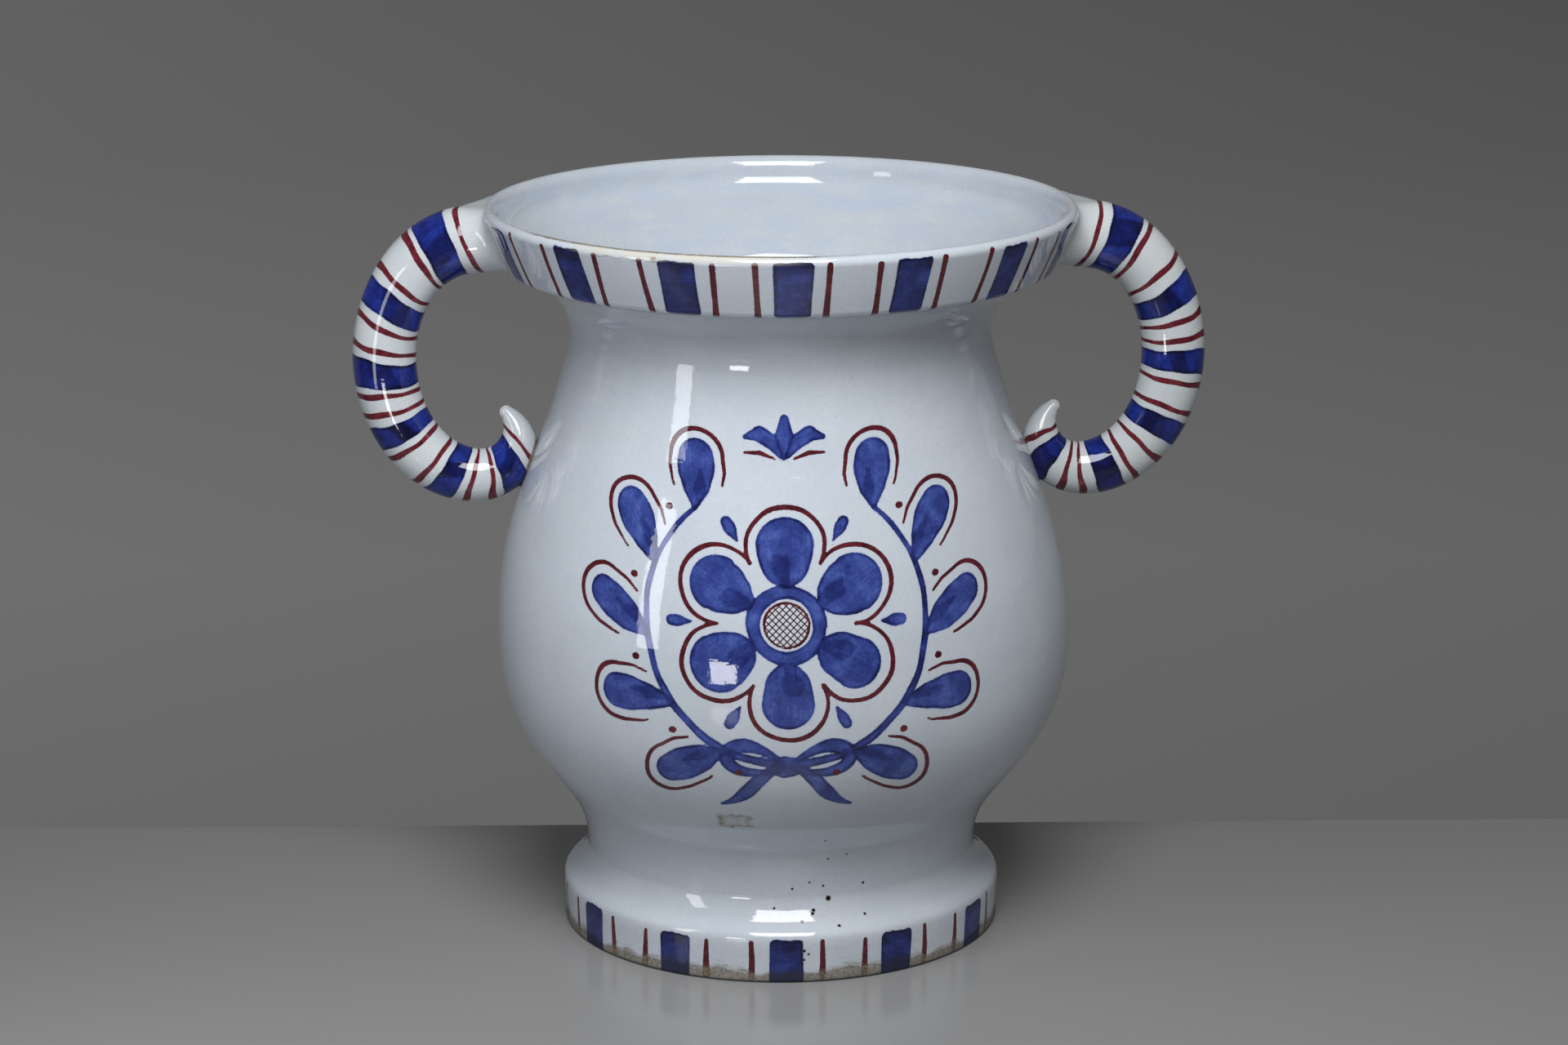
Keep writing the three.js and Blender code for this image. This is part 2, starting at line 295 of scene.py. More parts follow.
# Places along the collar's outside are counted from the band's lower edge, up the band and over the lip
collar_far = travelled(collar_line)
collar_far -= collar_far[len(cove_line) - 1]
LIP_CREST = float(collar_far[-1] - LIP_RADIUS * (LIP_END - math.pi / 2))
BAND_TOP = float(collar_far[-len(lip_line)])
collar_rise = collar_line[1:collar_line[:, 1].argmax()]
VESSEL_LINE = np.vstack((foot_line, body_line[1:], neck_line[1:], collar_rise))


def inside_of(line):
    """The inside of a wall of even thickness, listed from the top down."""
    slope = np.gradient(line, axis=0)
    slope /= np.hypot(*slope.T)[:, None]
    return (line - WALL * np.stack((1 / slope[:, 1], np.zeros(len(line))), 1))[::-1]


def radius_at(z):
    """Radius of the outside of the foot, body and neck at a height."""
    return np.interp(z, VESSEL_LINE[:, 1], VESSEL_LINE[:, 0])


def lean_at(z):
    """How far the belly leans towards +X at a height."""
    return BELLY_LEAN * np.exp(-((z - BELLY_LEAN_HEIGHT) / BELLY_LEAN_SPREAD) ** 2 / 2)


def unevenness(azimuth, z):
    """How far the thrown wall stands off its true round, which is always inwards, so never over 0."""
    turn = 0.5 * np.sin(2 * azimuth + 1.3 + z / 90) + 0.3 * np.sin(3 * azimuth - 0.7 - z / 60)
    rings = 0.2 * np.sin(z / 7.0 + 1.5 * np.sin(azimuth + z / 50))
    return -UNEVENNESS * (1 + turn + rings)


def linked(name, data):
    """A new object in the scene."""
    made = bpy.data.objects.new(name, data)
    bpy.context.collection.objects.link(made)
    return made


def grid(rows, columns, closed_rows, closed_columns):
    """Quads between the points of a grid, listed row by row, which can close on itself either way."""
    i, j = np.meshgrid(np.arange(rows if closed_rows else rows - 1),
                       np.arange(columns if closed_columns else columns - 1), indexing="ij")
    below, beside = (i + 1) % rows * columns, (j + 1) % columns
    quads = np.stack((i * columns + j, below + j, below + beside, i * columns + beside), -1)
    return quads.reshape(-1, 4).tolist()


def fan(middle, first, second):
    """Triangles between a middle point and the edges of a ring."""
    return np.stack((np.full(len(first), middle), first, second), 1).tolist()


def make_object(name, places, faces, material, fields):
    """A smooth mesh piece whose painting is kept as one number per point for each named field."""
    mesh = bpy.data.meshes.new(name)
    mesh.from_pydata((places * MM).tolist(), [], faces)
    mesh.polygons.foreach_set("use_smooth", np.ones(len(mesh.polygons), bool))
    mesh.update()
    mesh.set_sharp_from_angle(angle=SMOOTH_UNDER)
    for field, values in fields.items():
        mesh.attributes.new(field, "FLOAT", "POINT").data.foreach_set("value", values.astype(np.float32))
    mesh.materials.append(material)
    return linked(name, mesh)


def around(fine_reach, fine_step, coarse_step=1.0):
    """Azimuths in radians all the way round, closer together over the painted front."""
    fine = np.arange(-fine_reach, fine_reach, fine_step)
    coarse = np.linspace(fine_reach, 2 * math.pi - fine_reach,
                         math.ceil((2 * math.pi - 2 * fine_reach) / coarse_step), endpoint=False)
    return np.concatenate((fine, coarse))


def revolve(name, line, azimuths, paint, material):
    """Turns a line round the axis. It runs up the outside and down the inside, and closes on itself,
    or on the axis where it starts and ends there. paint gives the fields of the whole grid of points."""
    on_axis = line[0][0] == 0
    rows = line[1:-1] if on_axis else line
    columns = len(azimuths)
    azimuth = np.repeat(azimuths, len(rows))
    radius = np.tile(rows[:, 0], columns)
    height = np.tile(rows[:, 1], columns)
    row = np.tile(np.arange(len(rows)), columns)
    thrown = radius + unevenness(azimuth, height)
    places = np.stack((thrown * np.sin(azimuth) + lean_at(height), -thrown * np.cos(azimuth), height), 1)
    fields = paint(azimuth, radius, height, row)

    count = len(rows)
    faces = grid(columns, count, True, not on_axis)
    if on_axis:
        low, high = len(places), len(places) + 1
        places = np.vstack((places, (0, 0, line[0][1]), (0, 0, line[-1][1])))
        fields = {k: np.concatenate((v, (v[0], v[count - 1]))) for k, v in fields.items()}
        bottom = np.arange(columns) * count
        beside = np.roll(bottom, -1)
        faces += fan(low, beside, bottom) + fan(high, bottom + count - 1, beside + count - 1)
    return make_object(name, places, faces, material, fields)


# A brush stroke is a path on the unrolled wall (right, up) with half a width at each of its points
def stroke(path, widths):
    path = np.asarray(path, float)
    widths = np.interp(np.linspace(0, 1, len(path)), np.linspace(0, 1, len(widths)), widths)
    return path, widths


def hand(path, widths, shake=0.5):
    """A stroke as a hand draws it, with a slow tremble in its path and its width."""
    path, widths = stroke(path, widths)
    far = travelled(path)
    for k in (0, 1):
        slow = np.sin(far / rng.uniform(9, 16) + rng.uniform(0, 6))
        quick = np.sin(far / 4 + rng.uniform(0, 6))
        path[:, k] += shake * (0.6 * slow + 0.3 * quick)
    widths = widths * (1 + 0.07 * np.sin(far / rng.uniform(5, 9) + rng.uniform(0, 6)))
    return path, widths


def dot(x, y, radius):
    """One touch of the brush."""
    return stroke([(x - 0.2 * radius, y), (x + 0.2 * radius, y)], [radius, radius * 0.9])


def lay(strokes, right, up):
    """Distance to the nearest stroke and to the one under it, and the place along and across it."""
    nearest = np.full(len(right), FAR)
    under = np.full(len(right), FAR)
    along = np.zeros(len(right))
    across = np.zeros(len(right))
    for number, (path, widths) in enumerate(strokes):
        reach = widths.max() + FAR
        low, high = path.min(0) - reach, path.max(0) + reach
        near = np.flatnonzero((right > low[0]) & (right < high[0]) & (up > low[1]) & (up < high[1]))
        if not len(near):
            continue
        place = np.stack((right[near], up[near]), 1)[:, None]
        step = np.diff(path, axis=0)
        length = np.hypot(*step.T)
        t = np.clip(((place - path[:-1]) * step).sum(2) / length ** 2, 0, 1)
        gap = place - (path[:-1] + t[..., None] * step)
        distance = np.hypot(gap[..., 0], gap[..., 1]) - (widths[:-1] + t * np.diff(widths))
        best = distance.argmin(1)
        pick = np.arange(len(near)), best
        distance = distance[pick]
        side = (step[best, 0] * gap[pick][:, 1] - step[best, 1] * gap[pick][:, 0]) / length[best]
        new = distance < nearest[near]
        under[near] = np.where(new, nearest[near], np.minimum(under[near], distance))
        nearest[near] = np.where(new, distance, nearest[near])
        place_along = travelled(path)[best] + t[pick] * length[best] + STROKES_APART * number
        along[near] = np.where(new, place_along, along[near])
        across[near] = np.where(new, side, across[near])
    return nearest, under, along, across


def bars(right, up, middles, half_width, low, high, corner, seed):
    """Upright painted bars. The brush is set down at the ragged top, where the colour pools, and a
    second stroke leaves its mark along one side."""
    draw = np.random.default_rng(seed)
    nearest = np.full(len(right), FAR)
    across, along, coat = np.zeros((3, len(right)))
    middle_up, half_up = (low + high) / 2, (high - low) / 2
    for middle in middles:
        tilt, wide, phase = draw.uniform(-0.03, 0.03), draw.uniform(0.94, 1.05), draw.uniform(0, 6)
        drop, load, seam_side = draw.uniform(-0.7, 0.7), draw.uniform(-0.06, 0.10), draw.choice((-1, 1))
        x = right - middle - tilt * (up - middle_up)
        near = np.abs(x) < half_width + FAR
        side = half_width * wide + 0.25 * np.sin(up / 9 + phase)
        ragged = drop + 0.18 * np.sin(x / 0.9 + phase) + 0.35 * np.sin(x / 3.1 + 2 * phase)
        curve = np.where(up > middle_up, corner, corner * 1.8)
        gap_x = np.abs(x) - side + curve
        gap_y = np.where(up > middle_up, up - middle_up - ragged, middle_up - up) - half_up + curve
        distance = np.hypot(np.maximum(gap_x, 0), np.maximum(gap_y, 0)) - curve
        distance += np.minimum(np.maximum(gap_x, gap_y), 0)
        seam_gap = seam_side * x - side + SECOND_STROKE + 0.3 * np.sin(up / 4 + phase)
        pool = 0.20 * rise(up + 0.8 * np.sin(x / 3 + phase), high - POOL_LOW, high - POOL_FULL)
        mark = 0.16 * np.exp(-(seam_gap / 0.6) ** 2) - 0.07 * rise(seam_gap, 0, 0.8)
        new = near & (distance < nearest)
        nearest = np.where(new, distance, nearest)
        across = np.where(new, up, across)
        along = np.where(new, x + BARS_APART * phase, along)
        coat = np.where(new, BAR_COAT + load + pool + mark, coat)
    return nearest, along, across, coat


def no_paint(count):
    """Fields of bare glaze: no stroke near, nothing worn or soiled."""
    fields = {name: np.full(count, FAR) for name in ("blue", "red", "hatch")}
    zeros = ("coat", "along", "across", "right", "up", "worn", "grime", "bare", "cloud")
    fields.update({name: np.zeros(count) for name in zeros})
    return fields


def put(fields, where, **painted):
    """Sets fields at some of their points."""
    for name, values in painted.items():
        fields[name][where] = values


def rise(value, start, end):
    """0 before start and 1 after end, with a smooth step between."""
    t = np.clip((value - start) / (end - start), 0, 1)
    return t * t * (3 - 2 * t)


def between(value, start, full, fading, end):
    """0 before start and after end, and 1 from full to fading."""
    return rise(value, start, full) * rise(value, end, fading)


def srgb(code):
    """An sRGB hex colour as the linear colour that the shader wants."""
    parts = [int(code[i:i + 2], 16) / 255 for i in (1, 3, 5)]
    return [c / 12.92 if c <= 0.04045 else ((c + 0.055) / 1.055) ** 2.4 for c in parts] + [1]


def add(tree, kind, inputs=None, stops=(), **settings):
    """Adds a node with its settings. An input, by name or number, takes a value, a socket, or a node whose
    first output is meant. stops are the places and sRGB colours of a colour ramp."""
    node = tree.nodes.new(kind)
    for name, value in settings.items():
        setattr(node, name, value)
    for name, value in (inputs or {}).items():
        if isinstance(value, bpy.types.Node):
            value = value.outputs[0]
        if isinstance(value, bpy.types.NodeSocket):
            tree.links.new(value, node.inputs[name])
        else:
            node.inputs[name].default_value = value
    for number, (place, code) in enumerate(stops):
        elements = node.color_ramp.elements
        element = elements[number] if number < len(elements) else elements.new(place)
        element.position = place
        element.color = srgb(code)
    return node


MATH = "ShaderNodeMath"
MIX = "ShaderNodeMix"
RAMP = "ShaderNodeValToRGB"
RANGE = "ShaderNodeMapRange"
NOISE = "ShaderNodeTexNoise"

# Patterns in glaze, paint and soil: the size of their features in millimetres, detail, roughness, and
# whether the wheel has drawn them out round the pot
PATTERNS = {
    "mottle": (38, 3.0, 0.6, False),
    "fine_mottle": (2.6, 2.0, 0.6, False),
    "grain": (0.7, 2.0, 0.6, False),
    "clouds": (46, 4.0, 0.6, True),
    "bleed": (3, 2.0, 0.5, False),
    "waver": (0.8, 2.0, 0.5, False),
    "wash": (13, 3.0, 0.6, False),
    "fleck": (2.2, 3.0, 0.7, False),
    "dried_edge": (8, 2.0, 0.5, False),
    "dried_share": (26, 2.0, 0.5, False),
    "red_load": (5, 3.0, 0.6, False),
    "wear": (9, 4.0, 0.65, False),
    "soil": (9, 5.0, 0.75, True),
    "dust_and_contact_shade": (1.6, 3.0, 0.5, False),
    "clay": (1.5, 3.0, 0.5, False),
    "peel": (3, 3.0, 0.5, False),
    "dimples": (8, 2.0, 0.5, False),
    "finger_rings": (42, 2.0, 0.5, True),
}
WHEEL_DRAW = 6.0

# Brush hairs: 1.1 marks to a millimetre across the stroke, and each 20 times as long as wide
HAIRS_PER_MM = 1.1
HAIR_SHORTEN = 0.05

# The lattice's lines are 3.2 mm apart, and each speck has 14 mm of glaze to itself
LATTICE_HALF = 2.3
SPECK_APART = 14.0


def bare_tree(owner):
    """The emptied node tree of a material or a world."""
    owner.use_nodes = True
    owner.node_tree.nodes.clear()
    return owner.node_tree


def painted_glaze(name, whites, cloud, blues, reds, pinholes=()):
    """Tin-glazed earthenware, dipped and then painted on the raw glaze, so that the colours sink in and
    take its gloss. The glaze is an opaque white glass with a soft mottle and a slight orange peel. Blue
    pools dark at the edge of a stroke and shows the hairs of the brush, and red brown is drawn thin."""
    material = bpy.data.materials.new(name)
    tree = bare_tree(material)
    place = add(tree, "ShaderNodeTexCoord").outputs["Object"]
    level = add(tree, "ShaderNodeMapping", {"Vector": place, "Scale": (1.0, 1.0, WHEEL_DRAW)})
    field = {key: add(tree, "ShaderNodeAttribute", attribute_name=key).outputs["Fac"]
             for key in no_paint(1)}
    pattern = {}
    for key, (size, detail, roughness, drawn_out) in PATTERNS.items():
        pattern[key] = add(tree, NOISE, {"Vector": level if drawn_out else place, "Scale": 1 / (size * MM),
                                         "Detail": detail, "Roughness": roughness})

    def covered(colour, *layers):
        """A colour with others laid over it. Each has places (value, none, full, most): it starts where
        the value is none, is whole where it is full, and hides up to the share most."""
        for paint, *places in layers:
            share = 1.0
            for value, none, full, most in places:
                part = add(tree, RANGE, {"Value": value, "From Min": none, "From Max": full,
                                         "To Max": most})
                share = add(tree, MATH, {0: part, 1: share}, operation="MULTIPLY")
            paint = srgb(paint) if isinstance(paint, str) else paint
            colour = add(tree, MIX, {0: share, 6: colour, 7: paint}, data_type="RGBA").outputs[2]
        return colour

    # The edges of the strokes waver a little, as a brush leaves them
    edge = {}
    for key, shake in (("blue", 0.24), ("red", 0.20)):
        waver = add(tree, RANGE, {"Value": pattern["waver"], "From Min": 0.3, "From Max": 0.7,
                                  "To Min": -shake, "To Max": shake})
        edge[key] = add(tree, MATH, {0: waver, 1: field[key]}, operation="ADD")

    # Blue is as dark as its coat, the hairs that run along the stroke, pools and flecks in the wash, and
    # an edge of uneven width where the wash dried
    along = add(tree, MATH, {0: field["along"], 1: HAIR_SHORTEN}, operation="MULTIPLY")
    hairs_place = add(tree, "ShaderNodeCombineXYZ", {0: field["across"], 1: along})
    hairs = add(tree, NOISE, {"Vector": hairs_place, "Scale": HAIRS_PER_MM, "Detail": 4.0,
                              "Roughness": 0.7})
    dried_width = add(tree, MATH, {0: pattern["dried_edge"], 1: 2.4, 2: -2.9}, operation="MULTIPLY_ADD")
    dried_depth = add(tree, MATH, {0: field["blue"], 1: dried_width}, operation="SUBTRACT")
    dried_most = add(tree, RANGE, {"Value": pattern["dried_share"], "From Min": 0.36, "From Max": 0.6,
                                   "To Min": 0.25})
    dried = add(tree, RANGE, {"Value": dried_depth, "From Min": -0.7, "From Max": 0.5})
    dried = add(tree, MATH, {0: dried, 1: dried_most}, operation="MULTIPLY")
    depth = field["coat"]
    for value, none, full, most in ((hairs, 0.3, 0.72, 0.20), (pattern["wash"], 0.34, 0.66, 0.30),
                                    (pattern["fleck"], 0.3, 0.7, 0.16), (dried, 0.0, 1.0, 0.36)):
        part = add(tree, RANGE, {"Value": value, "From Min": none, "From Max": full, "To Max": most})
        depth = add(tree, MATH, {0: part, 1: depth}, operation="ADD")
    blue = add(tree, RAMP, {"Fac": depth}, stops=zip((0.12, 0.38, 0.66, 0.98), blues))
    red = add(tree, RAMP, {"Fac": pattern["red_load"]}, stops=zip((0.35, 0.65), reds))

    # The lattice of fine red lines, and iron in the clay that burns through as rare dark specks
    lattice = []
    for sign in (1.0, -1.0):
        across = add(tree, MATH, {0: field["up"], 1: sign, 2: field["right"]}, operation="MULTIPLY_ADD")
        lattice.append(add(tree, MATH, {0: across, 1: LATTICE_HALF}, operation="PINGPONG"))
    speck = add(tree, "ShaderNodeTexVoronoi", {"Vector": place, "Scale": 1 / (SPECK_APART * MM)})
    pinhole = 1.0
    for hole, size in pinholes:
        apart = add(tree, "ShaderNodeVectorMath", {0: place, 1: hole}, operation="DISTANCE")
        gap = add(tree, MATH, {0: apart.outputs["Value"], 1: size * MM}, operation="SUBTRACT")
        pinhole = add(tree, MATH, {0: gap, 1: pinhole}, operation="MINIMUM")

    # Soil: dust and slip where things meet, and blue under it darkens. On the foot's line of contact it is
    # near black, a painted contact shadow with dirt
    reach = add(tree, MATH, {0: field["grime"], 1: 0.7, 2: pattern["soil"]}, operation="MULTIPLY_ADD")
    soil = add(tree, RANGE, {"Value": reach, "From Min": 0.70, "From Max": 1.02, "To Max": 0.85})
    dust_and_contact_shade = add(tree, RAMP, {"Fac": pattern["dust_and_contact_shade"]}, stops=((0.35, "#897f6c"), (0.65, "#4e4535")))
    # The near black where the soil is heaviest is a painted contact shadow with dirt, on the foot's bottom
    # edge
    dust_and_contact_shade = covered(dust_and_contact_shade.outputs[0], ("#1a1715", (field["grime"], 1.6, 2.4, 1)),
                   ("#1a1d30", (edge["blue"], 0.16, -0.16, 1)))
    clay = add(tree, RAMP, {"Fac": pattern["clay"]}, stops=((0, "#a58a68"), (1, "#c0a684")))

    # From the white glaze up: mottle, grain, pale blue clouds, what bleeds from the blue, blue, red, the
    # lattice, specks, pinholes with their brown rings, cream where the lip has lost its tin, soil with its
    # painted contact shadow, and clay
    white = add(tree, RAMP, {"Fac": pattern["mottle"]}, stops=zip((0.35, 0.65), whites))
    colour = covered(
        white.outputs[0],
        (whites[2], (pattern["fine_mottle"], 0.42, 0.62, 0.35)),
        ("#a9b1bb", (pattern["grain"], 0.35, 0.65, 0.22)),
        (cloud, (pattern["clouds"], 0.44, 0.68, 1), (field["cloud"], 0, 1, 1)),
        ("#8f9fce", (field["blue"], 1.3, 0.1, 0.45), (pattern["bleed"], 0.35, 0.6, 1)),
        (blue, (edge["blue"], 0.16, -0.16, 1)),
        (red, (edge["red"], 0.14, -0.14, 1)),
        (reds[1], (lattice[0], 0.75, 0.4, 1), (field["hatch"], 0.2, -0.2, 1)),
        (reds[1], (lattice[1], 0.75, 0.4, 1), (field["hatch"], 0.2, -0.2, 1)),
        ("#4a3a34", (speck, 0.45 / SPECK_APART, 0.2 / SPECK_APART, 0.8)),
        ("#7d6a5a", (pinhole, 0.7 * MM, 0.1 * MM, 0.35)),
        ("#221312", (pinhole, 0.15 * MM, -0.15 * MM, 1)),
        ("#c9c7b9", (pattern["wear"], 0.30, 0.52, 1), (field["worn"], 0, 1, 1)),
        (dust_and_contact_shade, (soil, 0, 1, 1)),
        (clay, (field["bare"], 0, 1, 1)),
    )

    # Gloss and relief: orange peel, dimples, and the shallow level rings that fingers leave on the wheel
    dull = add(tree, MATH, {0: field["bare"], 1: soil}, operation="MAXIMUM")
    rough = add(tree, RANGE, {"Value": dull, "To Min": 0.03, "To Max": 0.75})
    relief = 0.0
    for key, height in (("peel", 0.022), ("dimples", 0.06), ("finger_rings", 0.07)):
        relief = add(tree, MATH, {0: pattern[key], 1: height, 2: relief}, operation="MULTIPLY_ADD")
    normal = add(tree, "ShaderNodeBump", {"Height": relief, "Distance": MM, "Strength": 1.0})
    shader = add(tree, "ShaderNodeBsdfPrincipled", {"Base Color": colour, "Roughness": rough, "IOR": 1.5,
                                                    "Normal": normal})
    add(tree, "ShaderNodeOutputMaterial", {"Surface": shader})
    return material


# Pinholes round the foot: azimuth in degrees, height and radius
PINHOLES = (
    (10.8, 53.0, 1.69), (21.3, 61.2, 0.91), (6.0, 44.4, 1.04), (6.3, 46.3, 1.17), (2.9, 40.3, 0.91),
    (0.4, 60.7, 0.78), (5.3, 65.1, 0.65), (9.3, 62.0, 0.78), (12.7, 37.1, 1.04), (20.7, 41.5, 0.91),
    (-4.7, 47.9, 0.78), (8.4, 99.3, 0.65), (10.1, 82.9, 0.65), (15.1, 85.6, 0.65), (3.1, 22.8, 1.04),
    (4.2, 20.4, 0.78), (3.1, 16.4, 0.78),
)


def on_wall(azimuth, height):
    """A place in metres on the outside of the foot, body or neck."""
    a = math.radians(azimuth)
    radius = float(radius_at(height)) - UNEVENNESS
    return (radius * math.sin(a) * MM, -radius * math.cos(a) * MM, height * MM)


BODY_GLAZE = painted_glaze("tin_glaze_bluish", ("#c2cad3", "#c9d0d8", "#bac1cb"), "#b3c2d8",
                           ("#5469b0", "#37478e", "#212c6c", "#11163c"), ("#60202b", "#40121b"),
                           [(on_wall(azimuth, height), size) for azimuth, height, size in PINHOLES])
HANDLE_GLAZE = painted_glaze("tin_glaze_warm", ("#c4cacd", "#cbd0d2", "#bdc3c7"), "#b4bfc8",
                             ("#364a9e", "#1d3088", "#131c5e", "#090b2e"), ("#6f2430", "#4c151f"))


# Foot: short bars and lines round the band, soil above the edge that it stands on, and a painted contact
# shadow with dirt along that edge
# The bars stand a little closer than twelve to the round, and at the back the last two run together
FOOT_BARS = 12
FOOT_BAR_PITCH = 0.985 * 2 * math.pi * FOOT_RADIUS / FOOT_BARS
FOOT_BAR_HALF = 11.8
FOOT_BAR_TOP = 30.2
FOOT_BAR_LOW = -6.0
FOOT_BAR_CORNER = 3.2
FOOT_LINE_APART = FOOT_RADIUS * math.radians(9)
FOOT_LINE_LOW = 3.5
FOOT_BAR_AZIMUTH = math.radians(-1.4)
FOOT_SOIL = 13.5
FOOT_DUST_TOP = 32.0
CONTACT_LINE = 1.2


def paint_foot(azimuth, radius, height, row):
    """Bars, lines and soil on the outside, a painted contact shadow with dirt along the bottom edge, and
    bare clay inside and under the ring.
    """
    fields = no_paint(len(azimuth))
    outside = row < foot_outside_rows
    right = FOOT_RADIUS * wrapped(azimuth - FOOT_BAR_AZIMUTH)
    middles = [k * FOOT_BAR_PITCH for k in range(-FOOT_BARS // 2, FOOT_BARS // 2 + 1)]
    blue, along, across, coat = bars(right, height, middles, FOOT_BAR_HALF, FOOT_BAR_LOW, FOOT_BAR_TOP,
                                     FOOT_BAR_CORNER, 5)
    lines = []
    for middle in middles:
        for side in (-1, 1):
            x = middle + side * FOOT_LINE_APART + rng.uniform(-1, 1)
            top = FOOT_BAR_TOP - rng.uniform(1, 3)
            path = [(x + rng.uniform(-0.8, 0.8), top), (x, 14), (x + rng.uniform(-0.6, 0.6), FOOT_LINE_LOW)]
            lines.append(hand(path, [1.5, 1.9, 2.3, 2.4], 0.2))
    put(fields, outside, blue=blue[outside], red=lay(lines, right[outside], height[outside])[0])
    put(fields, slice(None), along=along, across=across, coat=coat, bare=np.where(outside, 0, 1))
    ragged = FOOT_SOIL + sum(high * np.sin(azimuth * waves + phase)
                             for high, waves, phase in ((2.2, 7, -1.2), (2.2, 23, 2), (1.6, 53, 0)))
    soiled = (0.18 + 0.84 * rise(height, ragged, 3)) * rise(height, FOOT_DUST_TOP, FOOT_DUST_TOP - 8)
    # Below CONTACT_LINE the foot is painted near black: a painted contact shadow with dirt
    fields["grime"] = np.where(outside, np.where(height < CONTACT_LINE, 3.0, soiled), 0)
    return fields


foot_outside = walk(foot_line, BAND_STEP, tight=True)
foot_outside_rows = len(foot_outside)
ring_inside = FOOT_RADIUS - FOOT_CHAMFER - FOOT_RING_WIDTH
top_inside = WAIST_RADIUS - FOOT_WALL
foot_inside = walk(sweep(at(top_inside, WAIST_Z), at(top_inside, WAIST_Z - FOOT_INSIDE_DROP),
                         at(ring_inside, FOOT_INSIDE_RISE), at(ring_inside, 0)), PLAIN_STEP)
foot = revolve("glazed_foot", np.vstack((foot_outside, foot_inside)),
               around(math.pi, BAND_STEP / FOOT_RADIUS), paint_foot, BODY_GLAZE)


# The painted front: a rosette of broad petals inside a wreath of leaves tied below. Its places are counted
# along the wall, and agree with the heights at the girth. The first leaf and the pitch are in degrees
MOTIF_AZIMUTH = math.radians(-2)
MOTIF_REACH = math.radians(50)
ROSETTE_UP = 259.0
PETALS = 6
PETAL_START = 30.0
PETAL_END = 51.0
PETAL_HALF = 18.5
HEART_RADIUS = 14.5
OUTLINE_GAP = 6.8
LINE_HALF = 1.65
HEART_RING_OUT = 7.0
HEART_RING_HALF = 4.6
DART_START = 62.0
DART_END = 76.0
WREATH_RADIUS = 94.0
LEAVES = 5
FIRST_LEAF = -65
LEAF_PITCH = 29
LEAF_LEAN = math.radians(46)
LEAF_LENGTH = 41
LEAF_HALF = 12.4
LEAF_BEND = -3.0
BERRY_OUT = 12
BERRY_BEHIND = 0.13
BERRY_RADIUS = 2.4
MOTIF_COAT = 0.08
body_far = travelled(np.vstack((body_line, neck_line[1:])))
body_far += GIRTH_Z - body_far[CURVE_STEPS]
body_heights = np.concatenate((body_line[:, 1], neck_line[1:, 1]))


def turned(points, angle, origin=(0, 0)):
    """Points turned anticlockwise by an angle and moved to an origin."""
    c, s = math.cos(angle), math.sin(angle)
    points = np.asarray(points, float)
    return points @ np.array(((c, s), (-s, c))) + origin


def petal(angle, origin):
    """One petal that widens to a round end, its second stroke, and its scallop of the outline."""
    steps = np.linspace(PETAL_START, PETAL_END, 9)
    half = np.interp(steps, (PETAL_START, (PETAL_START + PETAL_END) / 2, PETAL_END),
                     (6.5, PETAL_HALF * 0.8, PETAL_HALF))
    body = turned(np.stack((steps, np.zeros(9)), 1), angle, origin)
    scallop = arc(at(PETAL_END, 0), PETAL_HALF + OUTLINE_GAP, 2.05, -2.05, 26)
    second = turned([(PETAL_START - 2, 1), (PETAL_START + 9, 3), (PETAL_END - 6, 7)], angle, origin)
    return ((hand(body, half, 0.5), hand(second, [4.0, 6.5, 1.5], 0.5)),
            hand(turned(scallop, angle, origin), [1.2, LINE_HALF, LINE_HALF, 1.2], 0.6))


def leaf(start, angle, length, half, bend):
    """A leaf laid down as a drop that swells to a round end, its second stroke, and its outline."""
    t = np.linspace(0, 1, 14)
    spine = np.stack((t * length, bend * t ** 2), 1)
    width = np.interp(t, (0, 0.2, 0.45, 0.8, 1), (1.2, 0.42 * half, 0.78 * half, half, 0.92 * half))
    turn = np.linspace(-1.5, 1.5, 16)
    tip = spine[-1] + (0.92 * half + OUTLINE_GAP) * np.stack((np.cos(turn), np.sin(turn)), 1)
    low = spine[5:12] + np.stack((np.zeros(7), -width[5:12] - OUTLINE_GAP), 1)
    high = spine[11:6:-1] + np.stack((np.zeros(5), width[11:6:-1] + OUTLINE_GAP), 1)
    line = hand(turned(np.vstack((low, tip, high)), angle, start), [0.9, LINE_HALF, LINE_HALF, 0.9], 0.5)
    body = turned(spine, angle, start)
    second = turned(spine[1:11] + at(0, 0.25 * half), angle, start)
    return (hand(body, width, 0.4), hand(second, [1.0, 0.36 * half, 0.9], 0.6)), line


def mirrored(strokes):
    """The same strokes on the other side of the middle."""
    return [(path * at(-1, 1), widths) for path, widths in strokes]


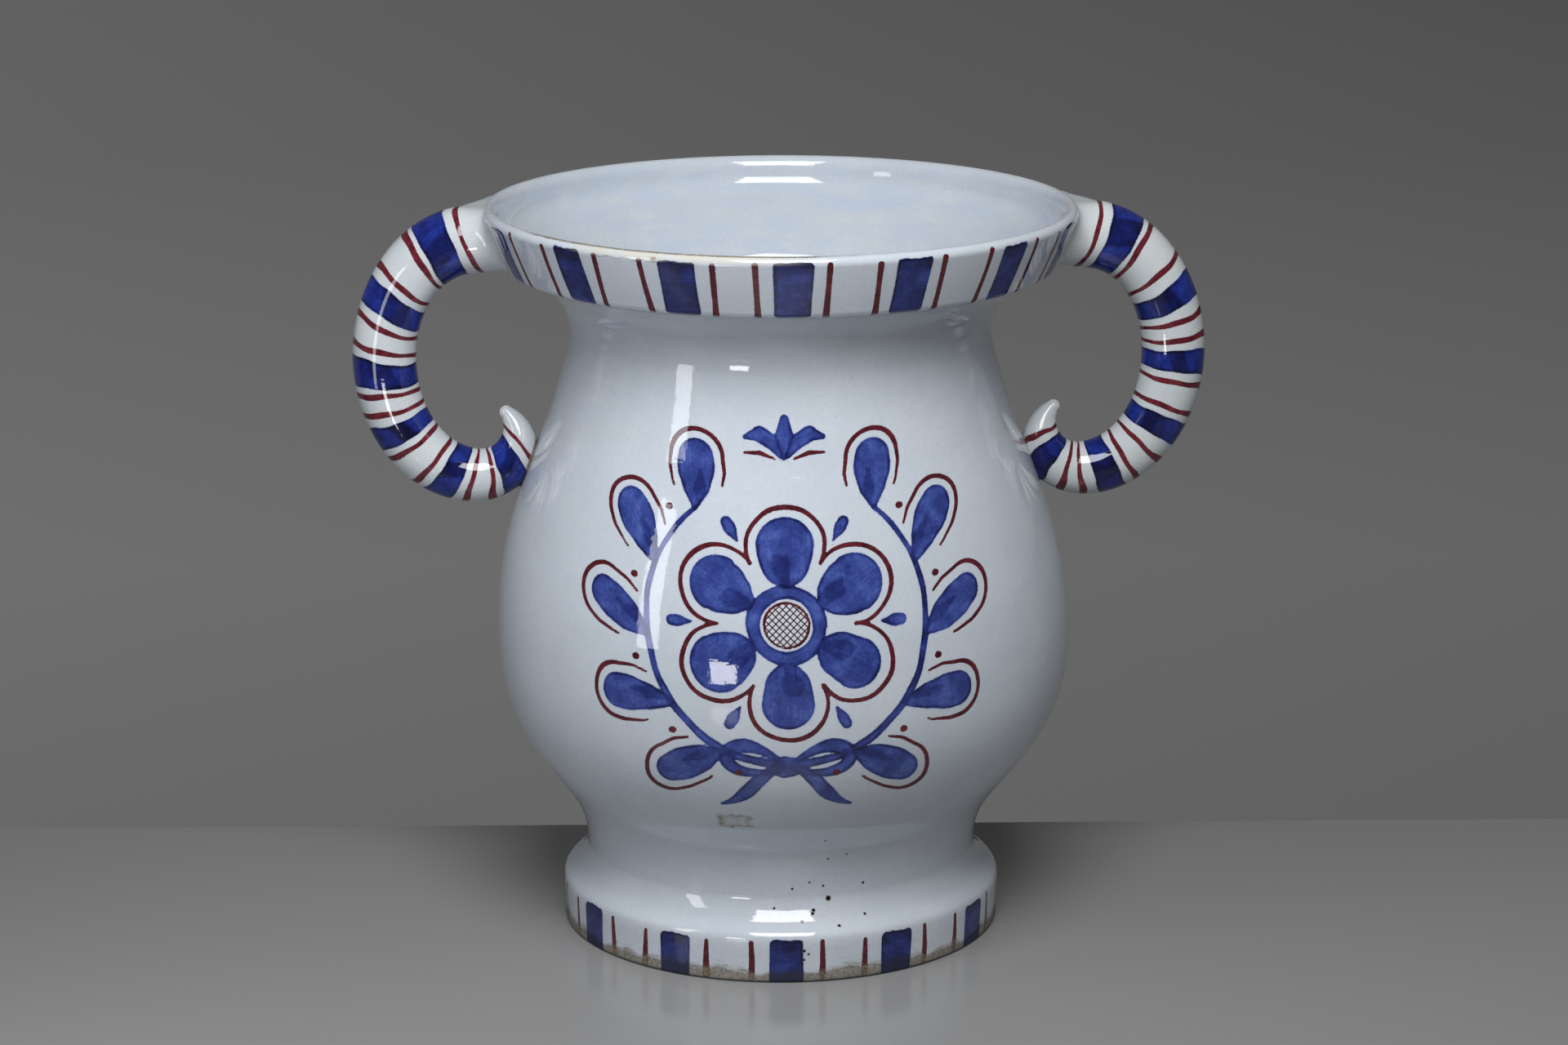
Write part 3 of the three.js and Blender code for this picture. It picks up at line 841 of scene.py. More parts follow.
def front_motif():
    """The blue and the red strokes of the painted front."""
    blue, red = [], []
    heart = at(0, ROSETTE_UP)
    for k in range(PETALS):
        angle = math.pi / 2 + k * 2 * math.pi / PETALS
        bodies, outline = petal(angle, heart)
        blue += bodies
        red.append(outline)
        gap_angle = angle + math.pi / PETALS
        dart = np.stack((np.linspace(DART_START, DART_END, 8), np.zeros(8)), 1)
        blue.append(hand(turned(dart, gap_angle, heart), [0.8, 2.4, 4.2, 3.6], 0.3))
    ring = arc(heart, HEART_RADIUS + HEART_RING_OUT, 0, 2 * math.pi, 36)
    blue.append(hand(ring, [HEART_RING_HALF], 0.4))
    red.append(hand(arc(heart, HEART_RADIUS, 0, 2 * math.pi, 30), [0.9], 0.2))

    branch = arc(heart, WREATH_RADIUS, math.radians(-86), math.radians(52), 40)
    blue_side = [hand(branch, [3.2, 2.4, 1.6], 0.6)]
    red_side = []
    for k in range(LEAVES):
        angle = math.radians(FIRST_LEAF + LEAF_PITCH * k)
        base = turned([(WREATH_RADIUS, 0)], angle, heart)[0]
        # The top two leaves are shorter
        length = LEAF_LENGTH - 2.0 * max(k - 2, 0) ** 2
        bodies, line = leaf(base, angle + LEAF_LEAN, length, LEAF_HALF, LEAF_BEND)
        berry = turned([(WREATH_RADIUS + BERRY_OUT, 0)], angle - BERRY_BEHIND, heart)[0]
        blue_side += bodies
        red_side += (line, dot(*berry, BERRY_RADIUS))

    # The bow, and the crown above the rosette
    loop = sweep(at(3, 166), at(44, 202), at(60, 148), at(5, 160), 24)
    tail = sweep(at(3, 163), at(20, 160), at(22, 136), at(42, 130), 14)
    blue_side += (hand(loop, [2.0, 5.0, 5.8, 4.4, 1.8], 0.4), hand(tail, [2.4, 5.4, 5.2, 1.4], 0.4))
    blue_side.append(hand([(2, 368), (8, 377), (16, 382), (25, 380)], [2.0, 5.2, 5.2, 1.8], 0.2))
    red_side.append(hand([(6, 366), (16, 370), (26, 370)], [0.8, 1.5, 0.9], 0.2))
    blue += blue_side + mirrored(blue_side)
    red += red_side + mirrored(red_side)
    blue.append(hand([(0, 367), (0, 380), (0, 392)], [2.0, 6.0, 3.0], 0.2))
    blue.append(dot(0, 163, 8.5))
    return blue, red


MOTIF_BLUE, MOTIF_RED = front_motif()


# Soil in the angle between tip and shoulder: how much on the left and on the right, and how far from
# the line of contact it starts and is whole
WALL_SOIL = (1.0, 0.45)
WALL_SOIL_REACH = (3.8, 0.6)
TIP_SOIL = {-1: 0.9, 1: 0.4}
TIP_SOIL_REACH = (2.8, 0.5)

# A rubbed patch low on the belly: azimuth and half a width in degrees, height and half a height
SCUFF_AZIMUTH = -13.4
SCUFF_HALF_TURN = 4.0
SCUFF_HEIGHT = 118.0
SCUFF_HALF_HEIGHT = 6.0


def paint_wall(azimuth, radius, height, row, outside_rows):
    """The body's and neck's painting, their inside, and the soil where the handles' tips rest."""
    fields = no_paint(len(azimuth))
    outside = row < outside_rows
    up = np.interp(height, body_heights, body_far)
    turn = wrapped(azimuth) - MOTIF_AZIMUTH
    right = radius * turn
    front = np.flatnonzero(outside & (np.abs(turn) < MOTIF_REACH))
    blue, under, along, across = lay(MOTIF_BLUE, right[front], up[front])
    put(fields, front, blue=blue, coat=MOTIF_COAT + OVERLAP_COAT * rise(under, 0.5, -0.5), along=along,
        across=across, red=lay(MOTIF_RED, right[front], up[front])[0],
        hatch=np.hypot(right[front], up[front] - ROSETTE_UP) - HEART_RADIUS)
    fields["right"], fields["up"] = right, up
    fields["cloud"] = np.where(outside, 0.10, 0.5)
    x, y = radius * np.sin(azimuth), -radius * np.cos(azimuth)
    soil = np.where(x < 0, *WALL_SOIL) * rise(tube_gap(np.abs(x), y, height), *WALL_SOIL_REACH)
    place = np.degrees(wrapped(azimuth))
    edge = np.maximum(np.abs(place - SCUFF_AZIMUTH) / SCUFF_HALF_TURN,
                      np.abs(height - SCUFF_HEIGHT) / SCUFF_HALF_HEIGHT)
    edge += 0.08 * np.sin(place * 2.3) + 0.07 * np.sin(height * 0.9 + place)
    edge += 0.06 * np.sin(place * 9 + height * 2)
    scuff = 0.24 * rise(edge, 1.1, 0.95) * rise(edge, 0.5, 0.85) + 0.40 * rise(edge, 1.05, 0.85)
    fields["grime"] = np.where(outside, np.maximum(soil, scuff), 0)
    return fields


def handle_line():
    """The middle line of the handle on the +X side as x, z and half a thickness, from the root on the
    collar over the arch and round the curl to the tip."""
    top_x, top_z = RIM_RADIUS + HANDLE_RUN, RIM_Z - HANDLE_TOP_DROP
    out_x = RIM_RADIUS + HANDLE_REACH - SIDE_RADIUS
    under_z = top_z - HANDLE_DROP
    curl_z = under_z + CURL_HEIGHT
    curl_x = float(radius_at(curl_z)) + SEAT_STANDOFF + CURL_WIDTH
    root_x = BAND_FOOT_RADIUS
    t = np.linspace(0, 1, 40, endpoint=False)
    root = np.stack((root_x + (top_x - root_x) * t, top_z - ROOT_DIP * (1 - t), np.full(40, TOP_RADIUS)), 1)

    turn = np.linspace(0, math.pi, 240)
    upper = turn < math.pi / 2
    centre = np.where(upper, top_x, curl_x)
    share = np.where(upper, np.sin(turn), np.maximum(turn / (math.pi / 2) - 1, 0) ** ARCH_EASE)
    thick = np.where(upper, TOP_RADIUS + (SIDE_RADIUS - TOP_RADIUS) * share,
                     SIDE_RADIUS + (UNDER_RADIUS - SIDE_RADIUS) * share)
    arch = np.stack((centre + (out_x - centre) * np.sin(turn),
                     (top_z + under_z) / 2 + HANDLE_DROP / 2 * np.cos(turn), thick), 1)

    turn = np.linspace(0, CURL_TURN, 160)[1:]
    seated = np.minimum(turn / (math.pi / 2), 1)
    free = np.maximum(turn - math.pi / 2, 0) / (CURL_TURN - math.pi / 2)
    thick = UNDER_RADIUS + (SEAT_RADIUS - UNDER_RADIUS) * seated ** CURL_EASE
    thick += (TIP_RADIUS - SEAT_RADIUS) * free
    curl = np.stack((curl_x - CURL_WIDTH * np.sin(turn), curl_z - CURL_HEIGHT * np.cos(turn), thick), 1)
    return np.vstack((root, arch, curl))


HANDLE_LINE = handle_line()
HANDLE_FAR = travelled(HANDLE_LINE[:, :2])


def tube_gap(x, y, z):
    """How far points near the shoulder lie outside the curl of the handle on their side."""
    gap = np.full(len(x), FAR)
    near = np.flatnonzero((x > CURL_NEAR) & (np.abs(y) < CURL_ASIDE) & (z > CURL_LOW) & (z < CURL_TOP))
    curl = HANDLE_LINE[HANDLE_FAR > CURL_START][::6]
    apart = np.hypot(x[near, None] - curl[:, 0], z[near, None] - curl[:, 1])
    gap[near] = np.minimum((np.hypot(apart, y[near, None]) - curl[:, 2]).min(1), FAR)
    return gap


body_outside = walk(body_line, PAINT_STEP, tight=True)
inner_line = inside_of(body_line)
inner_line = inner_line[inner_line[:, 1] > FLOOR_Z + FLOOR_CORNER]
corner_foot = at(inner_line[-1][0] - 3, FLOOR_Z)
corner_line = sweep(inner_line[-1], corner_foot + at(1, 4), corner_foot - at(4, 0),
                    corner_foot - at(FLOOR_CORNER, 0))
body_inside = walk(np.vstack((inner_line, corner_line[1:])), INSIDE_STEP)
body_full = np.vstack((at(0, WAIST_Z), body_outside, body_inside, at(0, FLOOR_Z)))
WALL_COLUMNS = around(MOTIF_REACH, PAINT_STEP / GIRTH_RADIUS, math.radians(4))
body = revolve("glazed_body", body_full, WALL_COLUMNS,
               partial(paint_wall, outside_rows=len(body_outside)), BODY_GLAZE)

neck_outside = walk(neck_line, PAINT_STEP, tight=True)
neck_inside = walk(inside_of(neck_line), INSIDE_STEP)
neck = revolve("glazed_neck", np.vstack((neck_outside, neck_inside)), WALL_COLUMNS,
               partial(paint_wall, outside_rows=len(neck_outside)), BODY_GLAZE)


# Collar: tall bars and lines round the band, on the front and the back between the handles
BAND_RADIUS = 192.0
BAND_REACH = math.radians(84)
BAND_PITCH = math.radians(22.7)
BAND_MIDDLE = math.radians(-0.6)
BAND_BAR_HALF = 12.0
BAND_BAR_CORNER = 2.6
BAND_SHIFTS = np.radians((-2.2, 0.0, 1.1, 0.1, 0.3, 1.4, 2.0))
BAND_LINE_APART = BAND_RADIUS * math.radians(6.7)
BAND_BAR_LOW = 1.2
BAND_BAR_TOP = 43.6

# A chip on the lip: azimuth in degrees, place up the collar and radius
CHIP_AZIMUTH = -26.5
CHIP_UP = 43.5
CHIP_RADIUS = 1.3


def lip_wear(turn, up):
    """Where the lip has lost its tin, a darker line along its crest, strongest at the front left, and the
    soil on its lower edge and round the chip.
    turn is the azimuth in degrees."""
    worn = 0.8 * between(turn, -48, -38, -8, 4) * rise(up, BAND_TOP + 0.5, BAND_TOP + 4)
    line = rise(np.abs(up - BAND_TOP - 1.2 - 0.5 * np.sin(turn * 1.7)), 1.0, 0.3)
    line *= between(turn, -43, -38, -27, -20) + 0.7 * between(turn, -9, -6, -3, -1)
    # A darker line along the crest of the lip, strongest at the front left
    crest = rise(np.abs(up - LIP_CREST + 0.8), 2.0, 1.2) * rise(np.abs(turn), 100, 80)
    crest *= 0.15 + 0.6 * between(turn, -66, -50, 2, 14)
    chip = np.hypot(BAND_RADIUS * np.radians(turn - CHIP_AZIMUTH), up - CHIP_UP)
    soil = 0.62 * np.maximum(line, rise(chip, CHIP_RADIUS + 2.1, CHIP_RADIUS + 0.1))
    return worn, np.maximum(crest, soil), 0.8 * rise(chip, CHIP_RADIUS, CHIP_RADIUS - 0.5)


def paint_collar(azimuth, radius, height, row):
    """Bars and lines on the band in two runs, front and back, the wear and soil of the lip, and a darker
    line along its crest.
    """
    fields = no_paint(len(azimuth))
    up = collar_up[row]
    outside = row < len(collar_outside)
    for back in (0, 1):
        turn = wrapped(azimuth - BAND_MIDDLE + math.pi * back)
        right = BAND_RADIUS * turn
        near = np.flatnonzero(outside & (np.abs(turn) < BAND_REACH) & (up > -6))
        middles = BAND_RADIUS * (BAND_PITCH * np.arange(-3, 4) + BAND_SHIFTS)
        blue, along, across, coat = bars(right[near], up[near], middles, BAND_BAR_HALF, BAND_BAR_LOW,
                                         BAND_BAR_TOP, BAND_BAR_CORNER, 11 + back)
        lines = []
        for middle in middles:
            for side in (-1, 1):
                x = middle + side * BAND_LINE_APART + rng.uniform(-1, 1)
                lean = rng.uniform(-1.2, 1.2)
                top = BAND_BAR_TOP - rng.uniform(0.6, 2.4)
                path = [(x + lean, top), (x + 0.6 * lean, 28), (x, 14),
                        (x - 0.5 * lean, BAND_BAR_LOW + 1.5), (x - 0.6 * lean, BAND_BAR_LOW)]
                lines.append(hand(path, [2.0, 1.9, 2.0, 2.3, 1.0], 0.15))
        put(fields, near, blue=blue, along=along, across=across, coat=coat,
            red=lay(lines, right[near], up[near])[0])
    fields["cloud"] = np.where(outside, 0.1, 0.6)
    worn, grime, bare = lip_wear(np.degrees(wrapped(azimuth)), up)
    put(fields, outside, worn=worn[outside], grime=grime[outside], bare=bare[outside])
    return fields


cove_outside = walk(cove_line, COVE_STEP, tight=True)
collar_outside = np.vstack((cove_outside, walk(edge_line, LIP_STEP)[1:], walk(band_line, BAND_STEP)[1:],
                            walk(lip_line, LIP_STEP)[1:]))
collar_full = np.vstack((collar_outside, walk(mouth_line, MOUTH_STEP)[1:]))
collar_up = travelled(collar_full)
collar_up -= collar_up[len(cove_outside) - 1]
collar = revolve("glazed_collar", collar_full, around(math.pi, BAND_STEP * 1.2 / BAND_RADIUS), paint_collar,
                 BODY_GLAZE)


# Handles: each row is one group of a red line, the two edges of a blue patch, and a red line,
# as places along the middle line. TILT says how far the outer side of a line runs ahead of its inner one
LEFT_GROUPS = ((21, 29, 52, 57), (77, 84, 101, 108), (123, 130, 148, 153), (165, 172, 186, 192),
               (210, 217, 233, 240), (254, 259, 277, 285))
RIGHT_GROUPS = ((19, 27, 48, 53), (74, 84, 100, 108), (120, 127, 142, 149), (167, 173, 188, 198),
                (213, 220, 237, 246), (256, 265, 280, 287))
TILT_PLACES = (20, 30, 52, 75, 100, 125, 150, 168, 188, 212, 238, 260, 285)
LEFT_TILT = (13, 9, -8, -6, -11, -7, -6, -3, -1, -4, -9, -10, -28)
RIGHT_TILT = (13, 9, -3, -6, -6, 1, 3, 0, -2, 3, -7, -7, -13)
HANDLE_LINE_HALF = 1.85
HANDLE_COAT = 0.20
AVERAGE_RADIUS = 21.0

# The root's lines lean with this much turn, and at LIFTED_AT the brush leaves a gap in each ring
ROOT_LEAN = 0.6
LIFTED_AT = math.radians(150)


def collar_place(up, aside):
    """A point on the collar's outside by its place over the band's edge and its distance aside."""
    radius = np.interp(up, collar_far, collar_line[:, 0])
    height = np.interp(up, collar_far, collar_line[:, 1])
    return np.array((radius * math.cos(aside / radius), radius * math.sin(aside / radius), height))


def collar_out(up):
    """Which way the collar's outside faces there, in the XZ plane."""
    step = [np.interp(up + d, collar_far, collar_line[:, k]) for k in (0, 1) for d in (-0.5, 0.5)]
    along = at(step[1] - step[0], step[3] - step[2])
    along /= np.hypot(*along)
    return np.array((along[1], 0, -along[0]))


def handle_tube(angles):
    """Rings of the tube from the skirt to the round tip, and the place of each along the middle line."""
    places = np.append(np.arange(HANDLE_FAR[0] + SKIRT_RUN, HANDLE_FAR[-1], HANDLE_STEP), HANDLE_FAR[-1])
    x, z, thick = (np.interp(places, HANDLE_FAR, HANDLE_LINE[:, k]) for k in range(3))
    smooth = np.gradient(HANDLE_LINE[:, :2], HANDLE_FAR, axis=0)
    ahead = np.stack([np.interp(places, HANDLE_FAR, smooth[:, k]) for k in (0, 1)], 1)
    ahead /= np.hypot(*ahead.T)[:, None]
    turn = np.arange(1, TIP_RINGS + 1) / (TIP_RINGS + 1) * math.pi / 2
    x = np.append(x, x[-1] + ahead[-1][0] * TIP_RADIUS * np.sin(turn))
    z = np.append(z, z[-1] + ahead[-1][1] * TIP_RADIUS * np.sin(turn))
    thick = np.append(thick, TIP_RADIUS * np.cos(turn))
    ahead = np.vstack((ahead, np.repeat(ahead[-1:], TIP_RINGS, 0)))
    places = np.append(places, places[-1] + TIP_RADIUS * np.sin(turn))
    pull = HAND_PULL * (np.sin(places / 17)[:, None] + np.sin(2 * angles + places[:, None] / 30) - 2)
    tall = thick[:, None] * (1 + pull)
    rings = np.stack((x[:, None] - ahead[:, 1:2] * tall * np.cos(angles),
                      tall * np.sin(angles),
                      z[:, None] + ahead[:, 0:1] * tall * np.cos(angles)), -1)
    return rings, places


def skirt_side(angle, tube, back):
    """One line of the skirt, from its sunk end on the collar to a point of the tube's first ring."""
    cos, sin = math.cos(angle), math.sin(angle)
    square = SKIRT_SQUARE if cos > 0 else 1
    upright = math.copysign(abs(cos) ** square, cos)
    sideways = math.copysign(abs(sin) ** square, sin)
    web = rise(cos, 0.05, 0.5) * rise(sin * back, 0, 0.5)
    under = max(-cos, 0) ** 3
    high = (SKIRT_UP if upright > 0 else SKIRT_DOWN) + WEB_UP * web
    wide = SKIRT_HALF_WIDTH + WEB_REACH * web
    bow = SKIRT_TURN * (0.45 + 0.55 * abs(sin))
    far_up = min(SKIRT_MIDDLE + high * upright, LIP_CREST - SKIRT_UNDER_LIP)
    far_aside = wide * sideways
    near_up = far_up - (1 - web) * bow * upright
    near_aside = (wide - bow - WEB_RUN * web) * sideways
    end = collar_place(far_up, far_aside) - SKIRT_SINK * collar_out(far_up)
    bend = collar_place(near_up, near_aside) + (SKIRT_OUT + UNDER_OUT * under) * collar_out(near_up)
    bend[0] += WEB_OUT * web
    pull_on = tube - np.array((0.5 * np.hypot(*(tube - bend)[[0, 2]]), 0, -UNDER_LIFT * under))
    line = sweep(end, bend, pull_on, tube, SKIRT_STEPS)[:-1]
    t = np.linspace(0, 1, SKIRT_STEPS + 1)[:-1]
    hump = 4 * web * t * (1 - t)
    line[:, 1] += back * WEB_BULGE * hump
    line[:, 2] += WEB_FILL * hump * (RIM_Z - WEB_UNDER_LIP - line[:, 2])
    inner = collar_place((far_up + SKIRT_MIDDLE) / 2, far_aside / 2)
    inner -= ROOT_SINKS[0] * collar_out(SKIRT_MIDDLE)
    return np.vstack((inner, end - ROOT_SINKS[1] * collar_out(far_up), line))


def handle_mesh(back):
    """Rings of points from the sunk root over the arch and the curl to the tip, with the place along the
    middle line and the angle round it (0 on the outer side) of every point. back is the web's side."""
    angles = np.arange(HANDLE_SIDES) * 2 * math.pi / HANDLE_SIDES
    tube, places = handle_tube(angles)
    skirt = np.stack([skirt_side(angle, tube[0, side], back) for side, angle in enumerate(angles)], 1)
    skirt_places = places[0] + skirt[..., 0] - tube[0, :, 0]
    rings = np.concatenate((skirt, tube))
    along = np.vstack((skirt_places, np.repeat(places[:, None], HANDLE_SIDES, 1)))
    return rings, along, np.repeat(angles[None], len(rings), 0)


def seat_on_wall(rings):
    """Spreads the curl a little where it is pressed against the shoulder, and says how near it is."""
    gap = np.hypot(rings[..., 0], rings[..., 1]) - radius_at(rings[..., 2])
    near = (rings[..., 2] < CURL_TOP) & (rings[..., 2] > CURL_LOW) & (rings[..., 0] < CURL_REACH)
    gap = np.where(near, gap, FAR)
    outward = rings - rings.mean(1, keepdims=True)
    outward[..., 0] = 0
    outward /= np.maximum(np.linalg.norm(outward, axis=2, keepdims=True), 1)
    spread = np.where(gap < FAR - 1, SEAT_SPREAD * np.exp(-np.maximum(gap, 0) / SEAT_EASE), 0)
    return rings + outward * spread[..., None], gap


def paint_handle(place, angle, radius, gap, groups, tilt, turn):
    """Blue patches with a red line on either side, drawn round the tube, and the soil at the seat. Where
    a patch laps over its own start, its coat is double. The middles of root and tip, the last two points,
    stay bare."""
    fields = no_paint(len(place) + 2)
    near_root = rise(place, 60, 40)
    back = angle * turn
    flat = math.cos(ROOT_LEAN) * (1 - 2 * rise(back, 0.9, math.pi))
    lean = np.cos(back) * (1 - near_root) + flat * near_root
    lean = np.where(back < 0, np.cos(back + ROOT_LEAN * near_root), lean)
    shift = np.interp(place, TILT_PLACES, tilt) / 2 * lean
    seen = rise(np.abs(wrapped(angle - turn * LIFTED_AT)), math.radians(6), math.radians(26))
    blue, red = np.full((2, len(place)), FAR)
    coat = np.full(len(place), HANDLE_COAT)
    for number, (first, start, end, last) in enumerate(groups):
        for front in (-1, 1):
            lap = front * math.pi / 2 + rng.uniform(-0.35, 0.35)
            half_lap = rng.uniform(0.22, 0.55)
            inside = (half_lap - np.abs(angle - lap - 0.02 * (place - start))) * np.maximum(radius, 1)
            here = between(place, start - 8, start - 4, end + 4, end + 8)
            coat += rng.uniform(0.22, 0.36) * here * rise(inside, -1.0, 1.0)
        wave = 0.5 * np.sin(3 * angle + number) + 0.3 * np.sin(7 * angle + 2 * number)
        blue = np.minimum(blue, np.maximum(start + shift + wave - place, place - end - shift - wave * 0.7))
        for k, line in enumerate((first, last)):
            wave = 0.5 * np.sin(2.3 * angle + 3 * number + k) + 0.25 * np.sin(6 * angle + number)
            half = HANDLE_LINE_HALF * (1 + 0.12 * np.sin(4 * angle + k + number)) * (0.35 + 0.65 * seen)
            red = np.minimum(red, np.abs(place - line - shift - wave) - half + 2.5 * (1 - seen))
    put(fields, slice(-2), blue=blue, red=red, coat=coat, along=angle * AVERAGE_RADIUS, across=place,
        grime=TIP_SOIL[turn] * rise(gap, *TIP_SOIL_REACH))
    return fields


def make_handle(name, groups, tilt, turn):
    """A handle on the +X side where turn is 1, and turned half a round to the -X side where it is -1."""
    rings, along, angle = handle_mesh(turn)
    rings, gap = seat_on_wall(rings)
    radius = np.hypot(*(rings - rings.mean(1, keepdims=True))[..., 1:].reshape(-1, 2).T)
    fields = paint_handle(along.ravel(), wrapped(angle.ravel()), radius, gap.ravel(), groups, tilt, turn)

    middles = rings.mean(1)
    tip = middles[-1] + (middles[-1] - middles[-2]) * 0.15
    places = np.vstack((rings.reshape(-1, 3), middles[0], tip))
    places[:, :2] *= turn
    side = np.arange(HANDLE_SIDES)
    beside = np.roll(side, -1)
    last_ring = (len(rings) - 1) * HANDLE_SIDES
    faces = grid(len(rings), HANDLE_SIDES, False, True)
    faces += fan(len(places) - 2, side, beside) + fan(len(places) - 1, last_ring + beside, last_ring + side)
    return make_object(name, places, faces, HANDLE_GLAZE, fields)


right_handle = make_handle("painted_handle_right", RIGHT_GROUPS, RIGHT_TILT, 1)
left_handle = make_handle("painted_handle_left", LEFT_GROUPS, LEFT_TILT, -1)

PIECES = (
    (foot, "glaze_bluish_white", ("foot",)),
    (body, "glaze_bluish_white", ("body",)),
    (neck, "glaze_bluish_white", ("neck",)),
    (collar, "glaze_bluish_white", ("collar",)),
    (right_handle, "glaze_warm_white", ("handle_right",)),
    (left_handle, "glaze_warm_white", ("handle_left",)),
)
for piece, finish, nodes in PIECES:
    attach(piece, "root")
    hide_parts(*nodes)


# Stage: a pale table top with a larger grey ground behind it
FLOOR_BACK = 0.183
FLOOR_SKEW = -0.0315
FLOOR_REACH = 2.6
GROUND_REACH = 14.0
GROUND_DROP = 0.004
SHADE_DEPTHS = ((-0.5, "#626262"), (0.24, "#656565"), (0.95, "#6a6a6a"), (2.0, "#646464"), (3.3, "#5d5d5d"),
                (5.0, "#5a5a5a"))


def seen_directly(tree):
    """1 for what lens and gloss see, and 0 for the light that falls on things."""
    rays = add(tree, "ShaderNodeLightPath").outputs
    return add(tree, MATH, {0: rays["Is Camera Ray"], 1: rays["Is Glossy Ray"]}, operation="MAXIMUM")


def ground_shade(tree):
    """A soft shade that darkens with depth and to the right, in place of the lamps' fall-off."""
    place = add(tree, "ShaderNodeTexCoord").outputs["Object"]
    axes = add(tree, "ShaderNodeSeparateXYZ", {0: place}).outputs
    low, high = SHADE_DEPTHS[0][0], SHADE_DEPTHS[-1][0]
    depth = add(tree, RANGE, {"Value": axes[1], "From Min": low, "From Max": high})
    stops = [((y - low) / (high - low), code) for y, code in SHADE_DEPTHS]
    shade = add(tree, RAMP, {"Fac": depth}, stops=stops)
    aside = add(tree, MATH, {0: axes[0], 1: -0.14, 2: 1.0}, operation="MULTIPLY_ADD")
    return add(tree, "ShaderNodeEmission", {"Color": shade, "Strength": aside})


def stage_paper(name, code, roughness, shade=None):
    """Painted paper with a little gloss. Lens and gloss see its shade instead, where it has one."""
    material = bpy.data.materials.new(name)
    tree = bare_tree(material)
    surface = add(tree, "ShaderNodeBsdfPrincipled", {"Base Color": srgb(code), "Roughness": roughness})
    if shade:
        surface = add(tree, "ShaderNodeMixShader", {0: seen_directly(tree), 1: surface, 2: shade(tree)})
    add(tree, "ShaderNodeOutputMaterial", {"Surface": surface})
    return material


def sheet(name, corners, z, material):
    """A level sheet of the stage, in metres."""
    mesh = bpy.data.meshes.new(name)
    mesh.from_pydata([(x, y, z) for x, y in corners], [], [(0, 1, 2, 3)])
    mesh.materials.append(material)
    return linked(name, mesh)


far = FLOOR_REACH
floor = sheet("floor", [(-far, -far), (far, -far), (far, FLOOR_BACK + FLOOR_SKEW * far),
                        (-far, FLOOR_BACK - FLOOR_SKEW * far)], 0,
              stage_paper("floor_paper", "#929292", 0.19))
far = GROUND_REACH
ground = sheet("ground", [(-far, -far), (far, -far), (far, far), (-far, far)], -GROUND_DROP,
               stage_paper("ground_paper", "#8a8a8b", 0.8, ground_shade))


def lamp(name, place, aim, size, power, colour="#ffffff", in_gloss=True, in_diffuse=True):
    """A soft lamp that the lens doesn't see. One without gloss only fills, and one without diffuse is
    only a highlight."""
    data = bpy.data.lights.new(name, "AREA")
    data.shape = "RECTANGLE"
    data.size, data.size_y = size
    data.energy = power
    data.color = srgb(colour)[:3]
    light = linked(name, data)
    light.location = place
    light.rotation_mode = "QUATERNION"
    light.rotation_quaternion = (Vector(aim) - Vector(place)).to_track_quat("-Z", "Y")
    light.visible_camera = False
    light.visible_glossy = in_gloss
    light.visible_diffuse = in_diffuse


def round_place(azimuth, distance, height):
    """A place in metres at an azimuth in degrees, a distance from the axis and a height."""
    a = math.radians(azimuth)
    return (distance * math.sin(a), -distance * math.cos(a), height)


def panel(name, azimuth, low_edge, high_edge, width, power, colour="#ffffff", in_diffuse=True):
    """A lamp that faces the vase, given by the distance and height of its lower and its upper edge."""
    distance, height = (low_edge[0] + high_edge[0]) / 2, (low_edge[1] + high_edge[1]) / 2
    run, climb = high_edge[0] - low_edge[0], high_edge[1] - low_edge[1]
    lamp(name, round_place(azimuth, distance, height), round_place(azimuth, distance - climb, height + run),
         (width, math.hypot(run, climb)), power, colour, in_diffuse=in_diffuse)


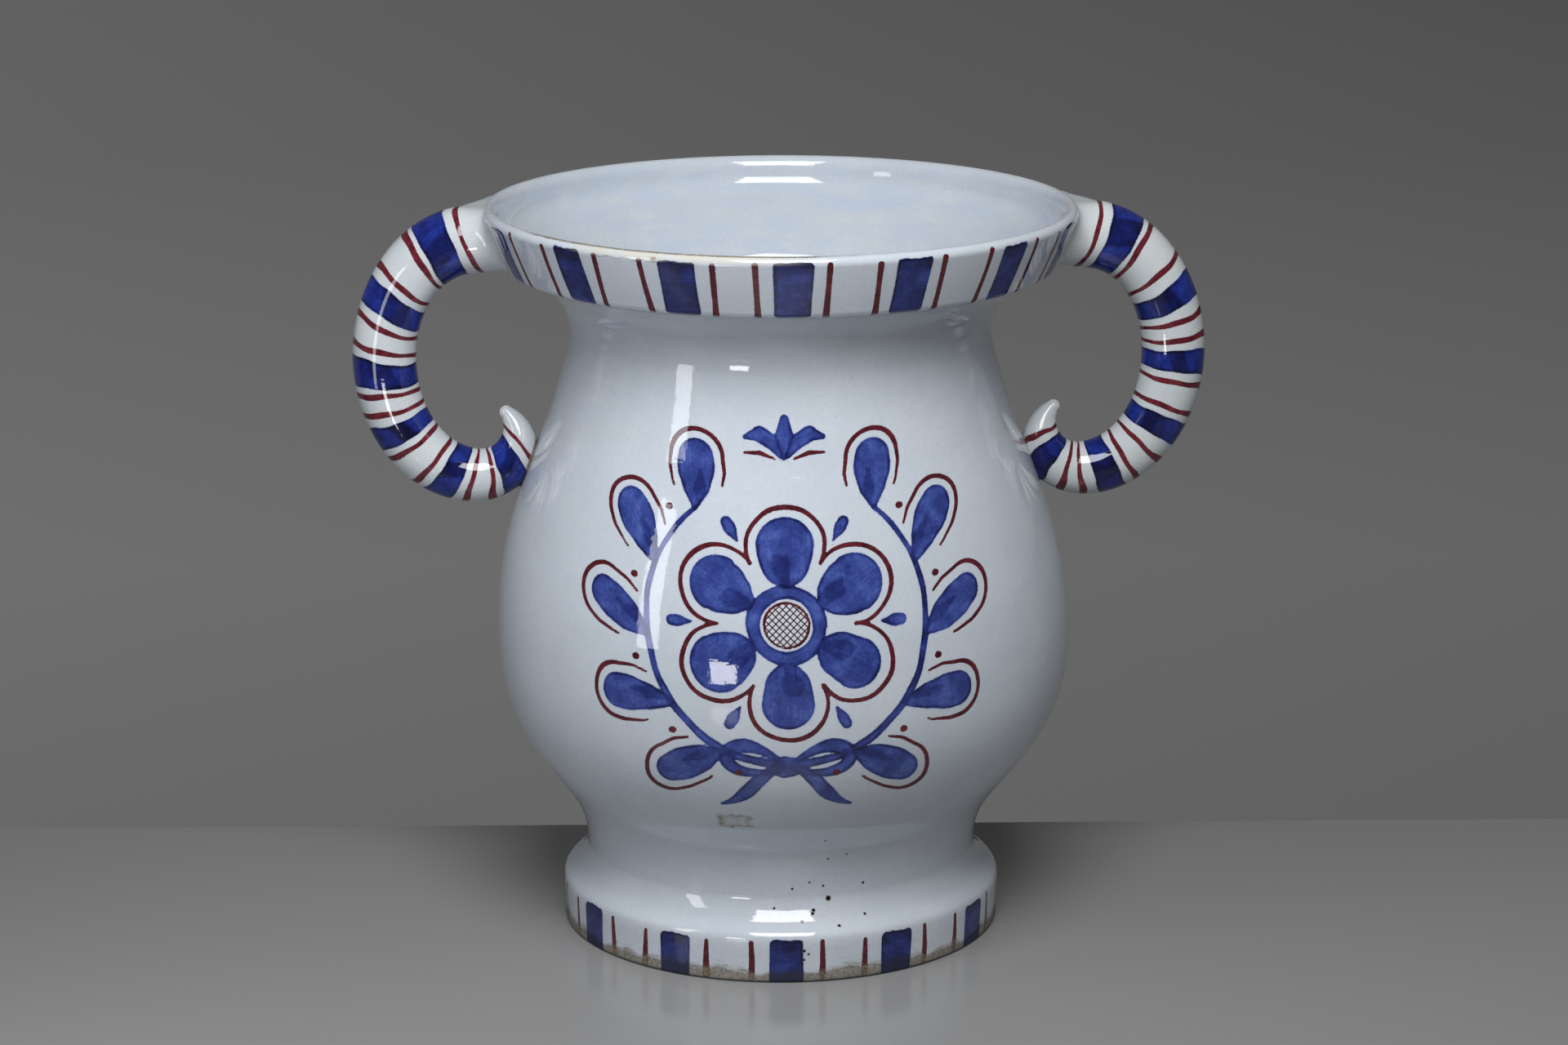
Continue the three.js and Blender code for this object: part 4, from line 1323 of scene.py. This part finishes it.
panel("main_softbox", -1.4, (1.50, 1.19), (0.76, 1.78), 0.806, 27.0)
panel("tall_strip", -50.8, (0.80, 0.18), (0.80, 0.61), 0.115, 1.0, "#f4f7ff")
panel("low_lamp", -23.8, (0.95, 0.065), (0.95, 0.158), 0.156, 0.63, in_diffuse=False)
lamp("left_fill", round_place(-60, 1.17, 2.12), (0, 0, 0.25), (1.0, 1.0), 4.4, in_gloss=False)
lamp("right_fill", round_place(75, 2.0, 1.18), (0, 0, 0.25), (1.0, 1.0), 3.0, in_gloss=False)
lamp("front_fill", round_place(22, 1.52, 2.06), (0, 0, 0.25), (1.12, 1.49), 0.9, in_gloss=False)

world = bpy.data.worlds.new("studio")
bpy.context.scene.world = world
tree = bare_tree(world)
fill = add(tree, "ShaderNodeBackground", {"Color": srgb("#ffffff"), "Strength": 0.01})
grey = add(tree, "ShaderNodeBackground", {"Color": srgb("#5c5c5c"), "Strength": 1.0})
both = add(tree, "ShaderNodeMixShader", {0: seen_directly(tree), 1: fill, 2: grey})
add(tree, "ShaderNodeOutputWorld", {"Surface": both})

# Camera: 2.7 m away and about a metre up, looking slightly down
CAMERA_AZIMUTH = math.radians(-2.9)
CAMERA_DISTANCE = 2.735
CAMERA_ASIDE = 0.0023
CAMERA_HEIGHT = 0.980
CAMERA_TILT = math.radians(14.4)
CAMERA_LENS = 94.97
camera_data = bpy.data.cameras.new("camera")
camera_data.lens = CAMERA_LENS
camera_data.sensor_width = 36
camera_data.clip_end = 60
camera = linked("camera", camera_data)
camera.location = (
    CAMERA_DISTANCE * math.sin(CAMERA_AZIMUTH) + CAMERA_ASIDE * math.cos(CAMERA_AZIMUTH),
    -CAMERA_DISTANCE * math.cos(CAMERA_AZIMUTH) + CAMERA_ASIDE * math.sin(CAMERA_AZIMUTH),
    CAMERA_HEIGHT,
)
camera.rotation_euler = (math.pi / 2 - CAMERA_TILT, 0, CAMERA_AZIMUTH)
bpy.context.scene.camera = camera
bpy.context.scene.view_settings.view_transform = "Standard"
